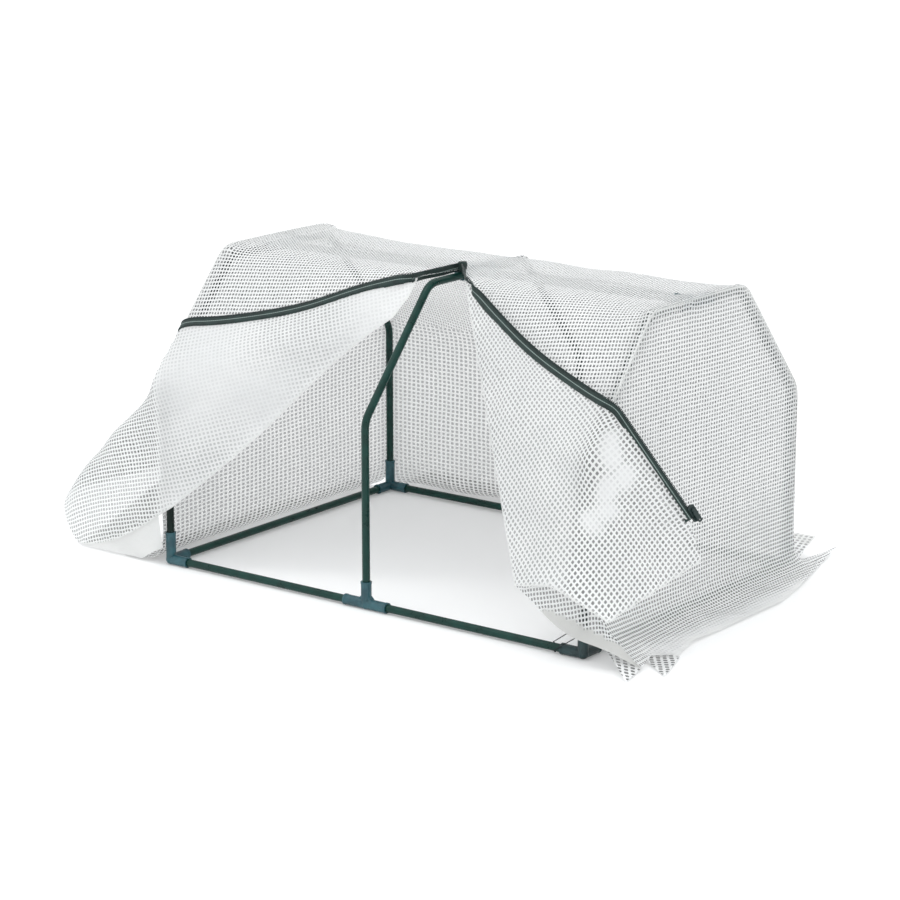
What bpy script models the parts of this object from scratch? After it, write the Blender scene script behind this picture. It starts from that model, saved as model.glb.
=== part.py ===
"""Mini greenhouse: a tube frame plugged into moulded connectors, under a fitted grid-film cover with a zipped front.

Three hoops stand on a rectangular sill and carry a ridge pole. One sheet covers the roof and the back, two end
panels close the ends, and skirts lie on the ground all round. The front is slit from the ridge down by an
open-ended zip, and both flaps are folded back over the end hoops about straight creases.

The origin is under the front tee, on the ground. X runs along the front sill, Y to the back and Z up.
"""
import math

import bmesh
import bpy
from mathutils import Matrix, Vector

# Frame, between the tubes' centre lines
LENGTH = 0.974
WIDTH = 0.695
SHOULDER_HEIGHT = 0.358
RIDGE_HEIGHT = 0.584
TOP_WIDTH = 0.303
BEND_RADIUS = 0.045

# Tubes
TUBE_OD = 0.015
TUBE_WALL = 0.0009
TUBE_SIDES_RESOLUTION = 4
BEND_STEPS = 5

# Moulded connectors: arm lengths are from the connector's centre
SOCKET_CLEARANCE = 0.0003
SOCKET_WALL = 0.0022
SOCKET_SIDES = 16
BORE_SIDES = 12
CORNER_ARM = 0.045
CORNER_STEM = 0.055
TEE_ARM = 0.050
TEE_STEM = 0.043
TUBE_STOP = 0.013
FOOT_FLAT = 0.0005
LIP_LENGTH = 0.004
LIP_HEIGHT = 0.0007
GUSSET_REACH = 0.024
GUSSET_THICKNESS = 0.011

# Cover sheets
SHEET = 0.0012
SEAT_GAP = 0.0003
END_INSET = 0.0009
BACK_SKIRT = 0.155
END_SKIRT = 0.112
SLIT_BACK = 0.0475
SLIT_LEFT = 0.014
SLIT_RIGHT = 0.082

# Creases: the straight fold lines from the bottom of the slit down to the two front corners
LEFT_CREASE_TOP = 0.022
RIGHT_CREASE_TOP = 0.086
LEFT_CREASE_INSET = 0.018
LEFT_CREASE_HEIGHT = 0.120
RIGHT_CREASE_HEIGHT = 0.117
RIGHT_CREASE_INSET = 0.127
RIGHT_CREASE_FORWARD = 0.016
CREASE_LIFT = 0.0018
FLAP_LIFT = 0.0048

# Zip edges: where they lie on the front slope, as (share of the half length, share of the slope's width)
LEFT_ZIP_ON_SLOPE = [(0.12, 0.05), (0.28, 0.15), (0.52, 0.36), (0.84, 0.53), (1.03, 0.58)]
RIGHT_ZIP_ON_SLOPE = [(0.215, 0.03), (0.57, 0.39), (0.84, 0.565), (1.03, 0.64)]

# What hangs free outside the frame, as reaches from the end panel, the front sill and the ground
ZIP_END = (0.109, 0.150, 0.240)
FLAP_CORNER = (0.109, 0.190, 0.155)
LEFT_BULGE = (0.277, 0.010, 0.065)
LEFT_TOE = (0.230, -0.018, 0.003)
LEFT_BAND_TOE = 0.200
LEFT_BAND_TOP = 0.170
RIGHT_HEM = (0.075, -0.055, 0.100)
RIGHT_ROLL = (0.004, -0.055, 0.050)
RIGHT_FRONT_TIP = (0.119, -0.060, 0.0)
RIGHT_SIDE_TIP = (0.105, -0.0135, 0.0)
RIGHT_ANKLE = (0.014, -0.0135, 0.090)
RIGHT_PANEL_LIFT = (0.020, -0.030, 0.030)

# Zip
TAPE_OVERLAP = 0.009
TAPE_FREE = 0.007
TAPE_THICKNESS = 0.0009
BEAD_WIDTH = 0.004
BEAD_HEIGHT = 0.0032
BEAD_GRIP = 0.0012
BEAD_START = 0.0003
TOOTH_PITCH = 0.006
TOOTH_LENGTH = 0.0034
TEETH_FROM_BEND = 0.008
TEETH_FROM_END = 0.003
HEAD_TAPE = 0.010
HEAD_STOP = 0.010
HEAD_STOP_HEIGHT = 0.004
HEAD_BEAD_INSET = 0.001
HEAD_BEAD_HEIGHT = 0.0024
COPLANAR = 0.0001

# Slider, pull and end fittings, in axes on the row of teeth: X down the row, Y across it, Z outwards
SLIDER_LENGTH = 0.020
SLIDER_PLATE = 0.0016
SLIDER_CLEARANCE = 0.0005
SLIDER_CHAMFER = 0.0020
WEDGE_HALF = 0.0011
LUG_THICKNESS = 0.0014
LUG_HALF = 0.0016
PIVOT_X = -0.002
PIVOT_RADIUS = 0.0009
PIVOT_CLEARANCE = 0.00035
EYE_HALF = 0.0022
EYE_RADIUS = 0.0021
PULL_LENGTH = 0.026
PULL_WIDTH = 0.009
PULL_THICKNESS = 0.0018
PULL_HOLE = 0.0020
PIN_RADIUS = 0.0012
PIN_LENGTH = 0.014
BOX_LENGTH = 0.009

# Tie cord round the front sill at the right corner
TIE_RADIUS = 0.0008
TIE_CLEARANCE = 0.0003
TIE_FROM_CORNER = 0.061
TIE_SPREAD = 0.012
TIE_TOPS = (-0.011, 0.003)
TIE_OVER_ANGLE = 125
TIE_UNDER_ANGLE = 345
TIE_STEPS = 10
TIE_RESOLUTION = 2

# Worked out from the sizes above
TUBE_RADIUS = TUBE_OD / 2
SOCKET_RADIUS = TUBE_RADIUS + SOCKET_CLEARANCE + SOCKET_WALL
SILL_HEIGHT = SOCKET_RADIUS - FOOT_FLAT
COVER_OFFSET = SOCKET_RADIUS + LIP_HEIGHT + SEAT_GAP
HALF_LENGTH = LENGTH / 2
COVER_EDGE = HALF_LENGTH + COVER_OFFSET + SHEET
RIDGE_Y = WIDTH / 2
FRONT_BEND_Y = RIDGE_Y - TOP_WIDTH / 2
BACK_BEND_Y = RIDGE_Y + TOP_WIDTH / 2
TAPE_BASE = SHEET + 2 * SEAT_GAP
BEAD_MIDDLE = TAPE_BASE + TAPE_THICKNESS / 2
SLIDER_MIDDLE = BEAD_WIDTH / 2 + SLIDER_CLEARANCE + WEDGE_HALF
SLIDER_HALF_WIDTH = SLIDER_MIDDLE + BEAD_WIDTH / 2 + SLIDER_CLEARANCE + SLIDER_PLATE
PIVOT_HEIGHT = BEAD_HEIGHT / 2 + 2 * SLIDER_CLEARANCE + SLIDER_PLATE + EYE_RADIUS


def clear_scene():
    for old in list(bpy.data.objects):
        bpy.data.objects.remove(old, do_unlink=True)


def new_collection(name):
    made = bpy.data.collections.new(name)
    bpy.context.scene.collection.children.link(made)
    return made


def new_material(name, colour, roughness, metallic=0.0, alpha=1.0):
    made = bpy.data.materials.new(name)
    made.use_nodes = True
    shader = made.node_tree.nodes["Principled BSDF"]
    shader.inputs["Base Color"].default_value = (*colour, 1.0)
    shader.inputs["Roughness"].default_value = roughness
    shader.inputs["Metallic"].default_value = metallic
    shader.inputs["Alpha"].default_value = alpha
    return made


clear_scene()
PARTS = new_collection("mini_greenhouse")
CUTTERS = new_collection("cutters")
TUBE_GREEN = new_material("tube_green", (0.010, 0.045, 0.032), 0.35, 0.2)
CONNECTOR_TEAL = new_material("connector_teal", (0.055, 0.190, 0.220), 0.45)
GRID_FILM = new_material("grid_film", (0.85, 0.86, 0.86), 0.35, 0.0, 0.6)
ZIP_TAPE = new_material("zip_tape", (0.020, 0.045, 0.042), 0.8)
ZIP_PLASTIC = new_material("zip_plastic", (0.015, 0.035, 0.035), 0.4)
TIE_CORD = new_material("tie_cord", (0.012, 0.020, 0.022), 0.8)


def place_mesh(name, mesh, material, matrix=None):
    made = bpy.data.objects.new(name, mesh)
    PARTS.objects.link(made)
    if material.name not in mesh.materials:
        mesh.materials.append(material)
    if matrix is not None:
        made.matrix_world = matrix
    return made


def smooth_by_angle(mesh):
    mesh.shade_smooth()
    mesh.set_sharp_from_angle(angle=math.radians(40))


def baked_mesh(source, name):
    """The object's evaluated mesh as a new mesh, with loose caps welded; the object is removed."""
    depsgraph = bpy.context.evaluated_depsgraph_get()
    mesh = bpy.data.meshes.new_from_object(source.evaluated_get(depsgraph))
    mesh.name = name
    work = bmesh.new()
    work.from_mesh(mesh)
    bmesh.ops.remove_doubles(work, verts=work.verts, dist=0.000001)
    work.to_mesh(mesh)
    work.free()
    bpy.data.objects.remove(source, do_unlink=True)
    return mesh


def bar(start, end, radius, sides):
    """A closed cylinder between two points, as a cutter-collection object."""
    start, end = Vector(start), Vector(end)
    axis = end - start
    work = bmesh.new()
    bmesh.ops.create_cone(work, cap_ends=True, segments=sides, radius1=radius, radius2=radius, depth=axis.length)
    turn = Vector((0, 0, 1)).rotation_difference(axis).to_matrix().to_4x4()
    half_side = Matrix.Rotation(math.pi / sides, 4, "Z")
    work.transform(Matrix.Translation((start + end) / 2) @ turn @ half_side)
    mesh = bpy.data.meshes.new("bar")
    work.to_mesh(mesh)
    work.free()
    return tool(mesh)


def block(centre, size):
    work = bmesh.new()
    bmesh.ops.create_cube(work, size=1.0)
    work.transform(Matrix.Translation(centre) @ Matrix.Diagonal((*size, 1.0)))
    mesh = bpy.data.meshes.new("block")
    work.to_mesh(mesh)
    work.free()
    return tool(mesh)


def ball(centre, radius):
    work = bmesh.new()
    bmesh.ops.create_uvsphere(work, u_segments=SOCKET_SIDES, v_segments=10, radius=radius)
    work.transform(Matrix.Translation(centre))
    mesh = bpy.data.meshes.new("ball")
    work.to_mesh(mesh)
    work.free()
    return tool(mesh)


def prism(outline, axis_from, axis_to):
    """A flat polygon, given as points, swept along a straight step."""
    step = Vector(axis_to) - Vector(axis_from)
    work = bmesh.new()
    ring = [work.verts.new(Vector(point)) for point in outline]
    face = work.faces.new(ring)
    swept = bmesh.ops.extrude_face_region(work, geom=[face])
    moved = [item for item in swept["geom"] if isinstance(item, bmesh.types.BMVert)]
    bmesh.ops.translate(work, verts=moved, vec=step)
    bmesh.ops.recalc_face_normals(work, faces=work.faces)
    mesh = bpy.data.meshes.new("prism")
    work.to_mesh(mesh)
    work.free()
    return tool(mesh)


def tool(mesh):
    made = bpy.data.objects.new(mesh.name, mesh)
    made.hide_render = True
    made.display_type = "WIRE"
    CUTTERS.objects.link(made)
    return made


def carve(name, joined, removed):
    """One mesh: the first solid, with the others joined and the last list cut away. The tools are used up."""
    body = joined[0]
    for other, operation in [(o, "UNION") for o in joined[1:]] + [(o, "DIFFERENCE") for o in removed]:
        step = body.modifiers.new(operation.lower(), "BOOLEAN")
        step.operation = operation
        step.solver = "MANIFOLD"
        step.object = other
    mesh = baked_mesh(body, name)
    for other in joined[1:] + removed:
        bpy.data.objects.remove(other, do_unlink=True)
    smooth_by_angle(mesh)
    return mesh


def rounded_path(corners, radius):
    """The corners of a bent tube as path points, each inner corner replaced by an arc of the bend radius."""
    corners = [Vector(corner) for corner in corners]
    path = [corners[0]]
    for before, corner, after in zip(corners, corners[1:], corners[2:]):
        way_in = (before - corner).normalized()
        way_out = (after - corner).normalized()
        half_angle = way_in.angle(way_out) / 2
        centre = corner + (way_in + way_out).normalized() * (radius / math.sin(half_angle))
        tangent = radius / math.tan(half_angle)
        first = corner + way_in * tangent - centre
        last = corner + way_out * tangent - centre
        sweep = first.angle(last)
        axis = first.cross(last).normalized()
        for step in range(BEND_STEPS + 1):
            path.append(centre + Matrix.Rotation(sweep * step / BEND_STEPS, 3, axis) @ first)
    path.append(corners[-1])
    return path


def curve_object(name, points, radius, resolution, capped):
    curve = bpy.data.curves.new(name, "CURVE")
    curve.dimensions = "3D"
    curve.bevel_depth = radius
    curve.bevel_resolution = resolution
    curve.use_fill_caps = capped
    spline = curve.splines.new("POLY")
    spline.points.add(len(points) - 1)
    for knot, point in zip(spline.points, points):
        knot.co = (*point, 1.0)
    made = bpy.data.objects.new(name, curve)
    PARTS.objects.link(made)
    return made


def hollow_tube(name, corners):
    """A steel tube along a bent path, open at both ends, with its wall inside the outer diameter."""
    path = rounded_path(corners, BEND_RADIUS)
    mesh = baked_mesh(curve_object(name, path, TUBE_RADIUS, TUBE_SIDES_RESOLUTION, False), name)
    smooth_by_angle(mesh)
    made = place_mesh(name, mesh, TUBE_GREEN)
    wall = made.modifiers.new("wall", "SOLIDIFY")
    wall.thickness = TUBE_WALL
    wall.offset = -1
    wall.use_even_offset = True
    return made


def arm_solid(direction, reach):
    """The outside of one socket: a sleeve from the connector's centre with a low lip at its mouth."""
    proud = SOCKET_RADIUS + LIP_HEIGHT
    profile = [(0, SOCKET_RADIUS), (reach - LIP_LENGTH, SOCKET_RADIUS), (reach - LIP_LENGTH, proud), (reach, proud)]
    turn = Vector((0, 0, 1)).rotation_difference(Vector(direction)).to_matrix()
    work = bmesh.new()
    rings = []
    for distance, radius in profile:
        ring = []
        for i in range(SOCKET_SIDES):
            angle = (i + 0.5) * 2 * math.pi / SOCKET_SIDES
            ring.append(work.verts.new(turn @ Vector((radius * math.cos(angle), radius * math.sin(angle), distance))))
        rings.append(ring)
    for before, after in zip(rings, rings[1:]):
        for i in range(SOCKET_SIDES):
            j = (i + 1) % SOCKET_SIDES
            work.faces.new((before[i], before[j], after[j], after[i]))
    work.faces.new(list(reversed(rings[0])))
    work.faces.new(rings[-1])
    mesh = bpy.data.meshes.new("arm")
    work.to_mesh(mesh)
    work.free()
    return tool(mesh)


def arm_bore(direction, reach):
    direction = Vector(direction)
    radius = (TUBE_RADIUS + SOCKET_CLEARANCE) / math.cos(math.pi / BORE_SIDES)
    return bar(direction * TUBE_STOP, direction * (reach + SOCKET_WALL), radius, BORE_SIDES)


def foot_cut():
    """Levels the underside of a connector into a flat foot, along its arms and its lips."""
    depth = SOCKET_RADIUS
    centre = Vector((0, 0, -SILL_HEIGHT - depth / 2))
    span = 4 * TEE_ARM
    return block(centre, (span, span, depth))


def gusset(along):
    """The web that braces a stem against the arm lying along one direction."""
    along = Vector(along)
    side = along.cross(Vector((0, 0, 1))) * (GUSSET_THICKNESS / 2)
    up = Vector((0, 0, 1))
    outline = [Vector(), along * GUSSET_REACH, up * GUSSET_REACH]
    return prism([point - side for point in outline], -side, side)


def corner_mesh():
    arms = [((1, 0, 0), CORNER_ARM), ((0, 1, 0), CORNER_ARM), ((0, 0, 1), CORNER_STEM)]
    joined = [ball((0, 0, 0), SOCKET_RADIUS + LIP_HEIGHT)]
    for direction, reach in arms:
        joined.append(arm_solid(direction, reach))
    removed = [arm_bore(direction, reach) for direction, reach in arms]
    return carve("corner", joined, removed + [foot_cut()])


def tee_mesh():
    arms = [((1, 0, 0), TEE_ARM), ((-1, 0, 0), TEE_ARM), ((0, 0, 1), TEE_STEM)]
    joined = [ball((0, 0, 0), SOCKET_RADIUS + LIP_HEIGHT)]
    for direction, reach in arms:
        joined.append(arm_solid(direction, reach))
    joined += [gusset((1, 0, 0)), gusset((-1, 0, 0))]
    removed = [arm_bore(direction, reach) for direction, reach in arms]
    return carve("tee", joined, removed + [foot_cut()])


def cross_mesh():
    directions = [(1, 0, 0), (-1, 0, 0), (0, 1, 0), (0, -1, 0)]
    joined = [ball((0, 0, 0), SOCKET_RADIUS + LIP_HEIGHT)]
    for direction in directions:
        joined.append(arm_solid(direction, TEE_ARM))
    removed = [arm_bore(direction, TEE_ARM) for direction in directions]
    return carve("cross", joined, removed)


def build_connectors():
    corner = corner_mesh()
    tee = tee_mesh()
    low_corners = [
        ("front_left_corner", (-HALF_LENGTH, 0), 0),
        ("front_right_corner", (HALF_LENGTH, 0), 90),
        ("back_right_corner", (HALF_LENGTH, WIDTH), 180),
        ("back_left_corner", (-HALF_LENGTH, WIDTH), 270),
    ]
    for name, (x, y), turn in low_corners:
        matrix = Matrix.Translation((x, y, SILL_HEIGHT)) @ Matrix.Rotation(math.radians(turn), 4, "Z")
        place_mesh(name, corner, CONNECTOR_TEAL, matrix)
    for name, y, turn in [("front_tee", 0, 0), ("back_tee", WIDTH, 180)]:
        matrix = Matrix.Translation((0, y, SILL_HEIGHT)) @ Matrix.Rotation(math.radians(turn), 4, "Z")
        place_mesh(name, tee, CONNECTOR_TEAL, matrix)
    for name, side in [("left_ridge_tee", -1), ("right_ridge_tee", 1)]:
        lie_down = Matrix.Rotation(math.radians(-90 * side), 4, "Y") @ Matrix.Rotation(math.radians(90), 4, "Z")
        matrix = Matrix.Translation((side * HALF_LENGTH, RIDGE_Y, RIDGE_HEIGHT)) @ lie_down
        place_mesh(name, tee, CONNECTOR_TEAL, matrix)
    place_mesh("ridge_cross", cross_mesh(), CONNECTOR_TEAL, Matrix.Translation((0, RIDGE_Y, RIDGE_HEIGHT)))


def build_sills():
    for name, y in [("front_sill", 0), ("back_sill", WIDTH)]:
        for side_name, side in [("left", -1), ("right", 1)]:
            ends = [(side * TUBE_STOP, y, SILL_HEIGHT), (side * (HALF_LENGTH - TUBE_STOP), y, SILL_HEIGHT)]
            hollow_tube(f"{name}_{side_name}", ends)
    for name, side in [("left_sill", -1), ("right_sill", 1)]:
        x = side * HALF_LENGTH
        hollow_tube(name, [(x, TUBE_STOP, SILL_HEIGHT), (x, WIDTH - TUBE_STOP, SILL_HEIGHT)])


def build_hoops():
    """Each hoop is two bent tubes that meet in the connector at the ridge."""
    for hoop_name, x in [("left", -HALF_LENGTH), ("middle", 0), ("right", HALF_LENGTH)]:
        for half_name, wall_y, bend_y, side in [("front", 0, FRONT_BEND_Y, -1), ("back", WIDTH, BACK_BEND_Y, 1)]:
            corners = [
                (x, wall_y, SILL_HEIGHT + TUBE_STOP),
                (x, wall_y, SHOULDER_HEIGHT),
                (x, bend_y, RIDGE_HEIGHT),
                (x, RIDGE_Y + side * TUBE_STOP, RIDGE_HEIGHT),
            ]
            hollow_tube(f"{hoop_name}_hoop_{half_name}", corners)


def build_ridge():
    for name, side in [("ridge_pole_left", -1), ("ridge_pole_right", 1)]:
        ends = [(side * TUBE_STOP, RIDGE_Y, RIDGE_HEIGHT), (side * (HALF_LENGTH - TUBE_STOP), RIDGE_Y, RIDGE_HEIGHT)]
        hollow_tube(name, ends)


def offset_outline(offset):
    """Corners of the hoops' outline in (y, z), pushed out by an offset: front foot to back foot."""
    line = [
        Vector((0, 0)),
        Vector((0, SHOULDER_HEIGHT)),
        Vector((FRONT_BEND_Y, RIDGE_HEIGHT)),
        Vector((BACK_BEND_Y, RIDGE_HEIGHT)),
        Vector((WIDTH, SHOULDER_HEIGHT)),
        Vector((WIDTH, 0)),
    ]
    sides = [(b - a).normalized() for a, b in zip(line, line[1:])]
    outs = [Vector((-side.y, side.x)) for side in sides]
    pushed = [line[0] + outs[0] * offset]
    for corner, before, after in zip(line[1:], outs, outs[1:]):
        pushed.append(corner + (before + after) * (offset / (1 + before.dot(after))))
    pushed.append(line[-1] + outs[-1] * offset)
    return pushed


def shell(name, mesh, material, thickness=SHEET):
    """An open surface with outward faces, thickened outwards into a closed sheet."""
    made = place_mesh(name, mesh, material)
    skin = made.modifiers.new("thickness", "SOLIDIFY")
    skin.thickness = thickness
    skin.offset = 1
    skin.use_even_offset = True
    return made


def facet_mesh(name, points, faces):
    """A sheet folded out of flat facets between named points."""
    order = list(points)
    work = bmesh.new()
    verts = [work.verts.new(points[key]) for key in order]
    for face in faces:
        work.faces.new([verts[order.index(key)] for key in face])
    mesh = bpy.data.meshes.new(name)
    work.to_mesh(mesh)
    work.free()
    return mesh


def build_roof_and_back():
    """Roof, back slope, back wall and back skirt as one sheet, slit at the middle of its front edge."""
    outline = offset_outline(COVER_OFFSET)
    reach = COVER_EDGE
    skirt_end = Vector((outline[5].x + BACK_SKIRT, 0))
    profile = [outline[2], outline[3], outline[4], outline[5], skirt_end]
    work = bmesh.new()
    line = [work.verts.new((-reach, point.x, point.y)) for point in profile]
    edges = [work.edges.new(pair) for pair in zip(line, line[1:])]
    swept = bmesh.ops.extrude_edge_only(work, edges=edges)
    moved = [item for item in swept["geom"] if isinstance(item, bmesh.types.BMVert)]
    bmesh.ops.translate(work, verts=moved, vec=(2 * reach, 0, 0))
    for face in work.faces:
        if face.normal.z + face.normal.y < 0:
            face.normal_flip()
    mesh = bpy.data.meshes.new("cover_roof_back")
    work.to_mesh(mesh)
    work.free()
    made = shell("cover_roof_back", mesh, GRID_FILM)
    top = outline[2].y
    front = outline[2].x - 0.01
    apex = RIDGE_Y - SLIT_BACK
    left, right = (width * (apex - front) / (apex - outline[2].x) for width in (SLIT_LEFT, SLIT_RIGHT))
    wedge = [(-left, front, top - 0.01), (right, front, top - 0.01), (0, apex, top - 0.01)]
    slit = made.modifiers.new("slit", "BOOLEAN")
    slit.operation = "DIFFERENCE"
    slit.solver = "MANIFOLD"
    slit.object = prism(wedge, (0, 0, 0), (0, 0, 0.02))


def build_ends():
    """The end panels: the hoop's outline closed down to the ground, and a skirt turned outwards."""
    outline = offset_outline(COVER_OFFSET - END_INSET)
    for name, side in [("cover_left_end", -1), ("cover_right_end", 1)]:
        x = side * (HALF_LENGTH + COVER_OFFSET)
        points = {f"wall_{i}": Vector((x, point.x, point.y)) for i, point in enumerate(outline)}
        points["skirt_front"] = Vector((x + side * END_SKIRT, outline[0].x, 0))
        points["skirt_back"] = Vector((x + side * END_SKIRT, outline[5].x, 0))
        wall = [f"wall_{i}" for i in range(6)]
        skirt = ["wall_0", "wall_5", "skirt_back", "skirt_front"]
        if side > 0:
            wall.reverse()
            skirt.reverse()
        shell(name, facet_mesh(name, points, [wall, skirt]), GRID_FILM)


def on_slope(side, across, down, lift=0.0):
    """A point on the front slope's cover: a share of the half length, a share of the slope, and a lift off it."""
    outline = offset_outline(COVER_OFFSET)
    top, foot = outline[2], outline[1]
    along = (foot - top)
    out = Vector((along.y, -along.x)).normalized()
    spot = top + along * down + out * lift
    return Vector((side * HALF_LENGTH * across, spot.x, spot.y))


def beyond_end(side, place):
    """A point outside an end panel: its reach from the cover's edge, its depth from the front sill, its height."""
    reach, depth, height = place
    return Vector((side * (COVER_EDGE + reach), depth, height))


def crease_top(side, lift=0.0):
    inset = LEFT_CREASE_TOP if side < 0 else RIGHT_CREASE_TOP
    return on_slope(side, inset / HALF_LENGTH, 0.0, lift) + Vector((0, -SEAT_GAP, -SEAT_GAP))


def crease_foot(side, lift=0.0):
    if side < 0:
        return Vector((LEFT_CREASE_INSET - HALF_LENGTH, -COVER_OFFSET - lift, LEFT_CREASE_HEIGHT))
    x = HALF_LENGTH - RIGHT_CREASE_INSET
    return Vector((x, -COVER_OFFSET - RIGHT_CREASE_FORWARD - lift, RIGHT_CREASE_HEIGHT))


def front_shoulder(side, lift=0.0):
    outline = offset_outline(COVER_OFFSET + lift)
    return Vector((side * (COVER_EDGE + lift), outline[1].x, outline[1].y))


def inner_shoulder(side, lift=0.0):
    """Where the cover leaves the hoop's shoulder towards the crease, just inside the tube."""
    outline = offset_outline(COVER_OFFSET + lift)
    return Vector((side * (HALF_LENGTH - SOCKET_RADIUS), outline[1].x, outline[1].y))


def build_front_left():
    """The fixed part of the front on the left: the slope, the strip beside the crease and the band at the foot."""
    wall = -COVER_OFFSET
    edge = -COVER_EDGE
    crease_x, _, crease_z = crease_foot(-1)
    points = {
        "bend": on_slope(-1, COVER_EDGE / HALF_LENGTH, 0.0) + Vector((0, -SEAT_GAP, -SEAT_GAP)),
        "crease_top": crease_top(-1),
        "shoulder": front_shoulder(-1),
        "inner_shoulder": inner_shoulder(-1),
        "crease_foot": Vector((crease_x, wall, crease_z)),
        "leg_side": Vector((edge, wall, crease_z)),
        "band_top": Vector((edge, wall, LEFT_BAND_TOP)),
        "band_heel": Vector((edge, wall, 0)),
        "band_toe": Vector((edge - LEFT_BAND_TOE, wall, 0)),
    }
    faces = [
        ("bend", "shoulder", "inner_shoulder", "crease_top"),
        ("inner_shoulder", "crease_foot", "crease_top"),
        ("shoulder", "band_top", "leg_side", "crease_foot", "inner_shoulder"),
        ("band_top", "band_toe", "band_heel", "leg_side"),
    ]
    shell("cover_front_left", facet_mesh("cover_front_left", points, faces), GRID_FILM)


def build_front_right():
    """The fixed part of the front on the right: its foot is lifted off the sill and its skirt lies on the ground."""
    points = {
        "bend": on_slope(1, COVER_EDGE / HALF_LENGTH, 0.0) + Vector((0, -SEAT_GAP, -SEAT_GAP)),
        "crease_top": crease_top(1),
        "shoulder": front_shoulder(1),
        "inner_shoulder": inner_shoulder(1),
        "crease_foot": crease_foot(1),
        "lift": beyond_end(1, RIGHT_PANEL_LIFT),
        "ankle": beyond_end(1, RIGHT_ANKLE),
        "front_tip": beyond_end(1, RIGHT_FRONT_TIP),
        "side_tip": beyond_end(1, RIGHT_SIDE_TIP),
    }
    faces = [
        ("shoulder", "bend", "crease_top", "inner_shoulder"),
        ("inner_shoulder", "crease_top", "crease_foot"),
        ("shoulder", "inner_shoulder", "crease_foot"),
        ("shoulder", "crease_foot", "lift"),
        ("shoulder", "lift", "ankle"),
        ("ankle", "lift", "front_tip"),
        ("ankle", "front_tip", "side_tip"),
    ]
    shell("cover_front_right", facet_mesh("cover_front_right", points, faces), GRID_FILM)


def zip_line(side):
    """The free edge of a flap, from the slit to the lower end of the zip."""
    on_roof = LEFT_ZIP_ON_SLOPE if side < 0 else RIGHT_ZIP_ON_SLOPE
    points = [on_slope(side, across, down, FLAP_LIFT) for across, down in on_roof]
    return points + [beyond_end(side, ZIP_END)]


def flap_ring(side):
    """The flap's outline round its shoulder: crease, hem, free corner and zip edge."""
    crease = [crease_top(side, CREASE_LIFT), crease_foot(side, CREASE_LIFT)]
    if side < 0:
        hem = [beyond_end(side, LEFT_TOE), beyond_end(side, LEFT_BULGE)]
    else:
        hem = [beyond_end(side, RIGHT_ROLL), beyond_end(side, RIGHT_HEM)]
    edge = list(reversed(zip_line(side)))
    return crease + hem + [beyond_end(side, FLAP_CORNER)] + edge


def build_flap(name, side):
    """A folded-back flap: facets round the point where it is drawn over the hoop's shoulder."""
    ring = flap_ring(side)
    points = {f"edge_{i}": point for i, point in enumerate(ring)}
    points["shoulder"] = front_shoulder(side, FLAP_LIFT)
    points["inner_shoulder"] = inner_shoulder(side, FLAP_LIFT)
    keys = list(points)[:-2]
    faces = [("inner_shoulder", keys[0], keys[1])]
    faces += [("shoulder", keys[0], "inner_shoulder"), ("shoulder", "inner_shoulder", keys[1])]
    faces += [("shoulder", first, second) for first, second in zip(keys[1:], keys[2:] + keys[:1])]
    if side < 0:
        faces = [tuple(reversed(face)) for face in faces]
    shell(name, facet_mesh(name, points, faces), GRID_FILM)


def strip_frames(points, hub, side):
    """At each point of a flap's edge: the point, the step across the strip per unit of width, and the normal."""
    runs = [(after - before).normalized() for before, after in zip(points, points[1:])]
    normals = [(before - hub).cross(after - hub).normalized() * -side for before, after in zip(points, points[1:])]
    outs = []
    for run, normal, point in zip(runs, normals, points):
        out = run.cross(normal)
        outs.append(out if out.dot(point - hub) > 0 else -out)
    frames = [(points[0], outs[0], normals[0])]
    for i in range(1, len(runs)):
        before, after = normals[i - 1], normals[i]
        fold = before.cross(after)
        if fold.length < COPLANAR:
            step = (outs[i - 1] + outs[i]) / (1 + outs[i - 1].dot(outs[i]))
        else:
            step = fold / fold.dot(outs[i])
        mitre = (before + after) / (1 + before.dot(after))
        frames.append((points[i], step, mitre - step * mitre.dot(outs[i])))
    frames.append((points[-1], outs[-1], normals[-1]))
    return frames


def swept_section(section, frames):
    """A closed solid that carries one section, given as (width, height) pairs, along the frames."""
    work = bmesh.new()
    rings = []
    for point, across, up in frames:
        rings.append([work.verts.new(point + across * width + up * height) for width, height in section])
    for before, after in zip(rings, rings[1:]):
        for i in range(len(section)):
            j = (i + 1) % len(section)
            work.faces.new((before[i], before[j], after[j], after[i]))
    work.faces.new(rings[0])
    work.faces.new(list(reversed(rings[-1])))
    bmesh.ops.recalc_face_normals(work, faces=work.faces)
    mesh = bpy.data.meshes.new("strip")
    work.to_mesh(mesh)
    work.free()
    return mesh


def section_between(inner, outer, low, high):
    return [(inner, low), (outer, low), (outer, high), (inner, high)]


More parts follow.
